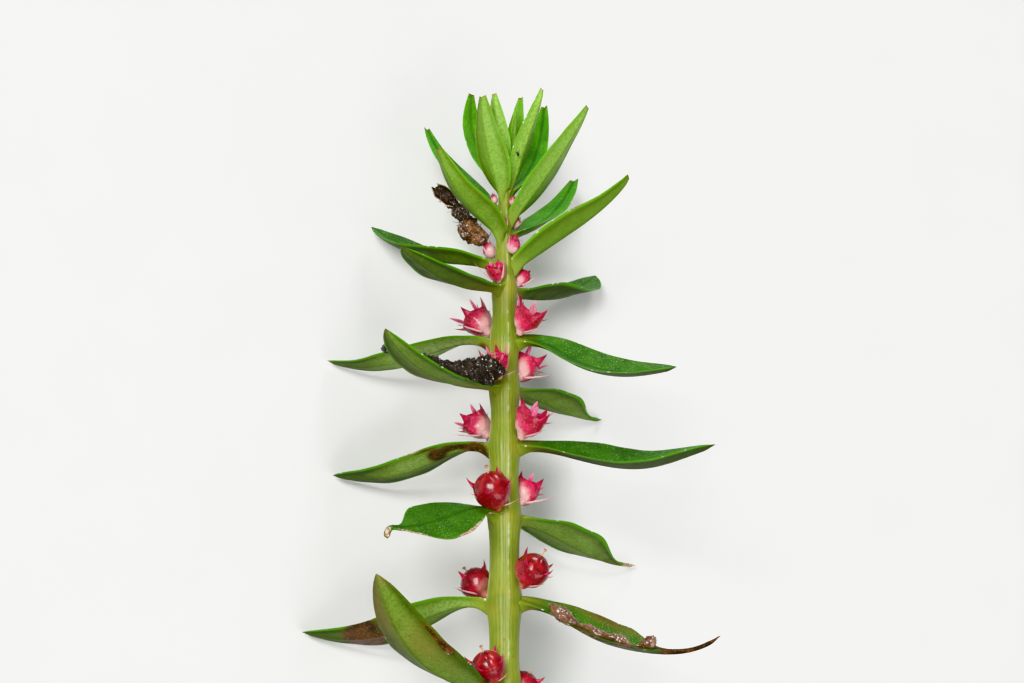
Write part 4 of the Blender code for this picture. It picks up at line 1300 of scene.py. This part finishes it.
def shred(start, end, radii, opening, facing, seed):
    """A thin curled shred between two points of the shoot's frame, with ragged ends and an open side."""
    start, end = np.asarray(start, float), np.asarray(end, float)
    axis = unit(end - start)
    first = unit(np.cross(axis, (0.0, 0.0, 1.0)))
    second = np.cross(axis, first)
    share = np.linspace(0, 1, SHRED_ROWS)[:, None]
    angle = np.linspace(-opening, opening, SHRED_COLUMNS)
    place = share + SHRED_FRAY * soft_noise(angle * SHRED_TEETH, seed, 0) * (share - 0.3)
    radius = smooth(radii, share) * (1 + SHRED_BOW * soft_noise(angle, share * 3, seed + 4))
    around = (angle + facing)[:, None]
    outward = first * np.cos(around) + second * np.sin(around)
    spine = start + place[..., None] * (end - start)
    outer = spine + outward * radius[..., None]
    inner = spine + outward * (radius - SHRED_THICKNESS)[..., None]
    rim = np.abs(np.linspace(-1, 1, SHRED_COLUMNS)) ** 8
    return loft(np.concatenate([outer, inner[:, ::-1]], axis=1), rim=np.concatenate([rim, rim]))


def lumps(leaf, stations, rows, lumpy, seed):
    """Lumps run together along a leaf: at each station its share along and across, height and radius."""
    share, across, height, radii = np.transpose(stations)
    path = on_leaf(leaf, share, across[:, None], height[:, None])[:, 0]
    return tube(path, radii, rows, LUMPS_RING, lumpy, seed)


def place_dirt(name, node, bodies, matrix, slot, **strewing):
    """A piece of dirt from bodies and their finishes, strewn with crumbs and fibres in the first finish."""
    meshes = [mesh_of("body", body, material) for body, material in bodies]
    source = bpy.data.objects.new(name + "_source", joined_mesh(name, meshes))
    grow(source, grit.tree, Material=bodies[0][1], **strewing)
    piece = settled(source, name, matrix)
    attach(piece, "root")
    if node:
        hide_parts(node)


leaves = {leaf.name: leaf for leaf in (*OLD_LEAVES, *YOUNG_LEAVES)}
dirty = leaves["leaf_5_front"]
muddy = leaves["leaf_2_right"]

# the clump lies in a wedge along its leaf and banks up against the flower in the axil
WEDGE_ENDS = (0.10, 0.79)
WEDGE_SIDES = ((-0.6, -0.5, -0.3, 0.0, 0.2), (1.0, 1.0, 0.97, 0.95, 0.92))
WEDGE_HEIGHTS = (1.30, 1.35, 1.10, 0.70, 0.60, 0.35)
BANK_LINE = ((-0.48, 20.80, 2.2), (-0.72, 21.25, 2.4), (-1.10, 21.25, 2.7), (-1.50, 20.95, 3.2))
BANK_RADII = (0.45, 0.68, 0.70, 0.50)
SPECK = (
    (0.780, -0.95, 0.05, 0.08), (0.800, -1.06, 0.03, 0.17), (0.825, -1.10, 0.03, 0.21),
    (0.850, -1.02, 0.05, 0.17), (0.870, -0.90, 0.08, 0.09),
)
clump_seat = leaf_seat(dirty)
into_leaf = clump_seat.inverted() @ shoot
bank_line = [into_leaf @ Vector(point) for point in BANK_LINE]
wedge = smear(dirty, WEDGE_ENDS, WEDGE_SIDES, WEDGE_HEIGHTS, seed=2.0)
bank = tube(bank_line, BANK_RADII, rows=44, around=32, lumpy=0.5, seed=31.0)
place_dirt(
    "black_clump_heap", "black_clump", [(wedge, clump_skin), (bank, clump_skin)], clump_seat, "clump",
    Crumbs=34.0, Crumb=0.07, Fibres=0.4, Fibre=0.35, Seed=3,
)
speck = lumps(dirty, SPECK, rows=30, lumpy=0.45, seed=5.0)
place_dirt(
    "black_speck_heap", "black_speck", [(speck, clump_skin)], clump_seat, "clump",
    Crumbs=30.0, Crumb=0.04, Fibres=0.0, Fibre=0.3, Seed=5,
)

# the mud lies along the leaf's near half in run-together lumps, and one round drop stands further along
STREAK = (
    (0.120, -0.30, 0.38, 0.14), (0.140, -0.35, 0.30, 0.22), (0.175, -0.60, 0.22, 0.38),
    (0.215, -0.70, 0.18, 0.45), (0.265, -0.60, 0.15, 0.30), (0.295, -0.40, 0.08, 0.15),
    (0.335, 0.00, 0.10, 0.28), (0.370, -0.05, 0.12, 0.32), (0.405, -0.10, 0.12, 0.28),
    (0.440, 0.05, 0.10, 0.20), (0.475, 0.10, 0.12, 0.27), (0.510, 0.10, 0.12, 0.28),
    (0.545, -0.05, 0.08, 0.16), (0.580, -0.10, 0.04, 0.08),
)
DROP = (
    (0.575, -0.20, 0.02, 0.06), (0.602, -0.15, 0.12, 0.16), (0.626, -0.10, 0.26, 0.32),
    (0.648, -0.05, 0.36, 0.42), (0.668, -0.05, 0.36, 0.34), (0.680, -0.05, 0.34, 0.12),
)
mud_seat = leaf_seat(muddy)
streak = lumps(muddy, STREAK, rows=150, lumpy=0.28, seed=8.0)
place_dirt(
    "mud_streak_heap", "mud_streak", [(streak, mud_skin)], mud_seat, "mud",
    Crumbs=8.0, Crumb=0.05, Fibres=0.0, Fibre=0.4, Seed=8,
)
drop = lumps(muddy, DROP, rows=60, lumpy=0.14, seed=11.0)
place_dirt(
    "mud_ball_heap", "mud_ball", [(drop, mud_skin)], mud_seat, "mud",
    Crumbs=4.0, Crumb=0.05, Fibres=0.0, Fibre=0.4, Seed=11,
)

# the scrap: a tan lump of rotted leaf, a dark wet twist of fibres above it and an open husk at the end
LUMP_LINE = ((-1.1, 29.9, -0.2), (-1.6, 30.3, -0.25), (-2.2, 30.75, -0.3), (-2.75, 31.2, -0.4))
LUMP_RADII = (0.30, 0.50, 0.60, 0.34)
TWIST_LINE = ((-1.9, 31.1, -0.5), (-2.4, 31.7, -0.6), (-2.9, 32.3, -0.6), (-3.4, 33.0, -0.6))
TWIST_RADII = (0.45, 0.42, 0.32, 0.24)
HUSK_ENDS = ((-3.0, 32.4, -0.2), (-4.2, 33.5, -0.25))
HUSK_RADII = (0.22, 0.50, 0.52, 0.26)
lump = tube(LUMP_LINE, LUMP_RADII, rows=60, around=44, lumpy=0.45, seed=14.0)
twist = tube(TWIST_LINE, TWIST_RADII, rows=50, around=24, lumpy=0.8, seed=17.0)
husk = shred(*HUSK_ENDS, HUSK_RADII, opening=1.7, facing=1.35, seed=20.0)
scrap_bodies = [(twist, husk_skin), (lump, lump_skin), (husk, husk_skin)]
place_dirt(
    "brown_scrap_shred", "brown_scrap", scrap_bodies, shoot, "scrap",
    Crumbs=4.0, Crumb=0.06, Fibres=2.4, Fibre=0.7, Seed=14,
)

# one dark grain stuck to the back of a young leaf
GRAIN_SHARES = (0.25, 0.27)
GRAIN_ASIDE = -0.62
GRAIN_BENEATH = 0.16
GRAIN_LENGTH = 0.22
GRAIN_RADII = (0.07, 0.09)
grain_leaf = leaves["leaf_12_right"]
grain_shares = np.array(GRAIN_SHARES)
_, grain_side, grain_up = blade_frame(grain_leaf, grain_shares)
grain_ends = midline(grain_leaf, grain_shares) + grain_side * GRAIN_ASIDE - grain_up * GRAIN_BENEATH
grain_ends[1] -= grain_side[1] * GRAIN_LENGTH
grain = tube(grain_ends, GRAIN_RADII, rows=16, around=12, lumpy=0.4, seed=23.0)
place_dirt(
    "stray_grain", None, [(grain, husk_skin)], leaf_seat(grain_leaf), "clump",
    Crumbs=0.0, Crumb=0.03, Fibres=0.0, Fibre=0.1, Seed=23,
)
